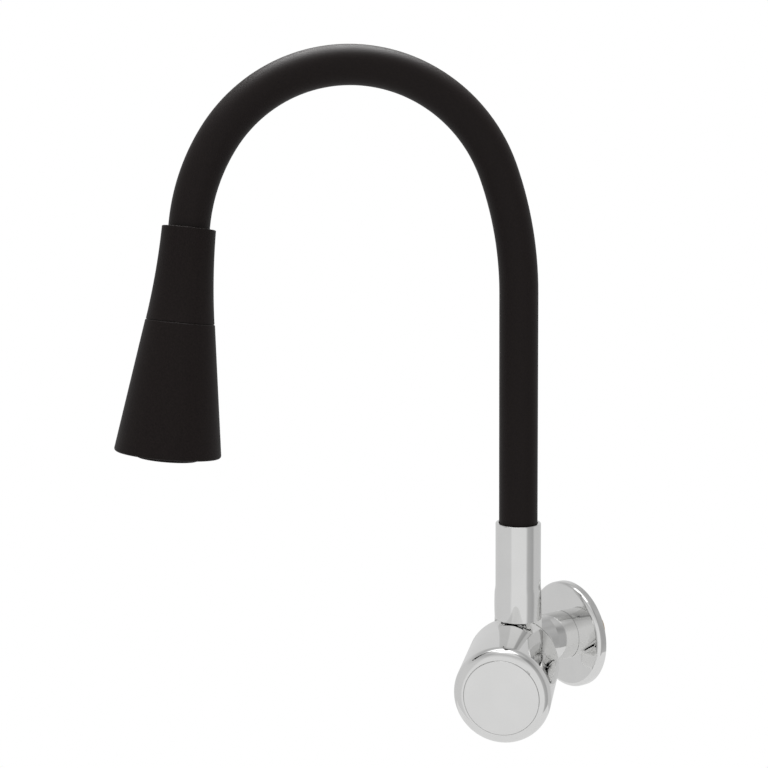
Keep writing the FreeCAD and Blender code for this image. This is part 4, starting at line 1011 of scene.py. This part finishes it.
head_profile = [(SOCKET_R, 0)]
head_profile += arc((HEAD_TOP_R - HEAD_TOP_ROUND, HEAD_TOP_ROUND), HEAD_TOP_ROUND, -90, 0)
side_top = (HEAD_TOP_R, HEAD_TOP_ROUND)
head_profile += bow(side_top, (HEAD_SEAM_R, HEAD_SEAM), HEAD_SWELL, 1, steps=28)[1:]
head_profile += [(HEAD_SEAM_R - HEAD_WALL, HEAD_SEAM), (HEAD_CAVITY_R, HEAD_ROOM)]
head_profile += [(HEAD_SHANK_R, HEAD_ROOM), (HEAD_SHANK_R, HEAD_LEDGE), (SOCKET_R, HEAD_LEDGE)]
head_shell = settle(lathe("upper_shell", head_profile), HEAD_PLACE)
smooth(head_shell)
dress(head_shell, black_plastic, "head", "black_plastic", "head_shell")
black_pieces.objects.link(head_shell)

# %% Bell of the head
BELL_TOP_R = 16.8
BELL_RIM_R = 25.7
BELL_TOP = 45.7
BELL_END = 110.0
BELL_CHAMFER = 0.3
BELL_RIM_ROUND = 1.2
BELL_RIM_ANGLE = -4
BELL_WALL = 2.0
BELL_TOP_THICK = 3.3
BELL_BORE = 11.08
BELL_HUB_WALL = 2.5
BELL_HUB_LEN = 11.3
RING_IN = 13.0
RING_OUT = 14.2
RING_RISE = 1.0
SEAM_FIT = 0.05
SEAM_GROOVE = 0.3

bell_slope = (BELL_RIM_R - BELL_TOP_R) / (BELL_END - BELL_TOP)
under_top = BELL_TOP + BELL_TOP_THICK
hub_r = BELL_BORE + BELL_HUB_WALL
hub_end = BELL_TOP + BELL_HUB_LEN
seam_floor = HEAD_SEAM + SEAM_FIT
groove_r = HEAD_SEAM_R - SEAM_GROOVE
bell_profile = [(BELL_BORE, BELL_TOP), (RING_IN, BELL_TOP), (RING_IN, BELL_TOP - RING_RISE)]
bell_profile += [(RING_OUT, BELL_TOP - RING_RISE), (RING_OUT, seam_floor)]
bell_profile += [(groove_r, seam_floor), (groove_r, BELL_TOP)]
bell_profile += [(BELL_TOP_R - BELL_CHAMFER, BELL_TOP), (BELL_TOP_R, BELL_TOP + BELL_CHAMFER)]
bell_rim = (BELL_RIM_R - BELL_RIM_ROUND, BELL_END - BELL_RIM_ROUND)
bell_profile += arc(bell_rim, BELL_RIM_ROUND, BELL_RIM_ANGLE, 90)
bell_profile += [(BELL_RIM_R - BELL_WALL, BELL_END)]
bell_profile += [(BELL_TOP_R - BELL_WALL + BELL_TOP_THICK * bell_slope, under_top)]
bell_profile += [(hub_r, under_top), (hub_r, hub_end), (BELL_BORE, hub_end)]
bell = settle(lathe("bell_shell", bell_profile), HEAD_PLACE)
smooth(bell)
dress(bell, black_plastic, "bell", "black_plastic", "head_bell")
black_pieces.objects.link(bell)

# %% [markdown]
# ## Nozzles and aerator
#
# Under the bell, a soft mat pushes rings of small nozzles through the face, so that scale can be
# rubbed off. Dots in a material would be lighter, but the nozzles stand out and catch the light. So
# one nozzle is turned with few faces, a taper and a mouth, and is copied round two rings. In the
# middle stands the aerator: a ring with a rounded edge round a pierced insert.

# %% Nozzle mat
MAT_START = 103.9
MAT_THICK = 1.1
MAT_BORE = 15.19
MAT_R = 20.94
NOZZLE_RINGS = ((16.39, 24), (19.19, 30))
NOZZLE_R = 0.9
NOZZLE_TIP_R = 0.72
NOZZLE_MOUTH_R = 0.34
NOZZLE_MOUTH_DEPTH = 0.8
NOZZLE_STRAIGHT = 108.9
NOZZLE_END = 109.7
NOZZLE_STEPS = 14
MAT_STEPS = 96

mat_profile = [(MAT_BORE, MAT_START), (MAT_R, MAT_START)]
mat_profile += [(MAT_R, MAT_START + MAT_THICK), (MAT_BORE, MAT_START + MAT_THICK)]
mat = lathe("nozzle_mat", mat_profile, MAT_STEPS)
nozzle_root = MAT_START + MAT_THICK / 2
nozzle_profile = [(0, nozzle_root), (NOZZLE_R, nozzle_root), (NOZZLE_R, NOZZLE_STRAIGHT)]
nozzle_profile += [(NOZZLE_TIP_R, NOZZLE_END), (NOZZLE_MOUTH_R, NOZZLE_END)]
nozzle_profile += [(0, NOZZLE_END - NOZZLE_MOUTH_DEPTH)]
nozzle = lathe("nozzle", nozzle_profile, NOZZLE_STEPS)
print("nozzles", sum(count for ring_r, count in NOZZLE_RINGS))

# %% Nozzles on the mat
nozzles = []
for ring_r, count in NOZZLE_RINGS:
    for index in range(count):
        copy = bpy.data.objects.new("nozzle_copy", nozzle.data.copy())
        bpy.context.scene.collection.objects.link(copy)
        turn = Matrix.Rotation(math.tau * index / count, 4, "Z")
        nozzles.append(settle(copy, along(turn, x=ring_r)))
bpy.data.objects.remove(nozzle)
only(mat)
for copy in nozzles:
    copy.select_set(True)
bpy.ops.object.join()
settle(mat, HEAD_PLACE)
smooth(mat)
dress(mat, finishes["nozzle_silicone"], "bell", "nozzle_silicone", "spray_nozzles")

# %% Aerator housing
AERATOR_BORE = 10.89
AERATOR_SHANK_R = 12.39
AERATOR_R = 14.69
AERATOR_START = 100.0
AERATOR_SEAT = 108.8
AERATOR_END = 112.3
AERATOR_ROUND = 0.5
AERATOR_LIP = 0.6
AERATOR_SINK = 1.0

lip_r = AERATOR_BORE - AERATOR_LIP
aerator_edge = (AERATOR_R - AERATOR_ROUND, AERATOR_END - AERATOR_ROUND)
aerator_profile = [(AERATOR_BORE, AERATOR_START), (AERATOR_SHANK_R, AERATOR_START)]
aerator_profile += [(AERATOR_SHANK_R, AERATOR_SEAT), (AERATOR_R, AERATOR_SEAT)]
aerator_profile += arc(aerator_edge, AERATOR_ROUND, 0, 90, steps=8)
aerator_profile += [(lip_r, AERATOR_END), (lip_r, AERATOR_END - AERATOR_SINK)]
aerator_profile += [(AERATOR_BORE, AERATOR_END - AERATOR_SINK)]
aerator = settle(lathe("aerator_ring", aerator_profile), HEAD_PLACE)
smooth(aerator)
dress(aerator, black_plastic, "bell", "black_plastic", "aerator_housing")

# %% [markdown]
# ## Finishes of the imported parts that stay
#
# The other parts are hidden or small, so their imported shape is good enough, and modelling them
# again would change nothing that can be seen. Each is given the finish that its slot names.

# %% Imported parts
SLOT_FINISHES = {
    "chrome": chrome,
    "chromed_brass": chrome,
    "brass": brass,
    "steel": finishes["satin_steel"],
    "steel_winding": wound_steel,
    "seal_rubber": finishes["seal_rubber"],
    "white_plastic": finishes["white_plastic"],
    "ceramic": finishes["lapped_ceramic"],
    "black_sleeve": silicone_sleeve,
    "inner_hose": finishes["inner_hose"],
    "black_plastic": black_plastic,
    "nozzle_silicone": finishes["nozzle_silicone"],
}
for subpart in frame["record"]["subparts"]:
    part = nodes[subpart["node"]]
    finish = SLOT_FINISHES[subpart["material_slot"]]
    if not part.material_slots:
        part.data.materials.append(finish)
    for holder in part.material_slots:
        holder.material = finish
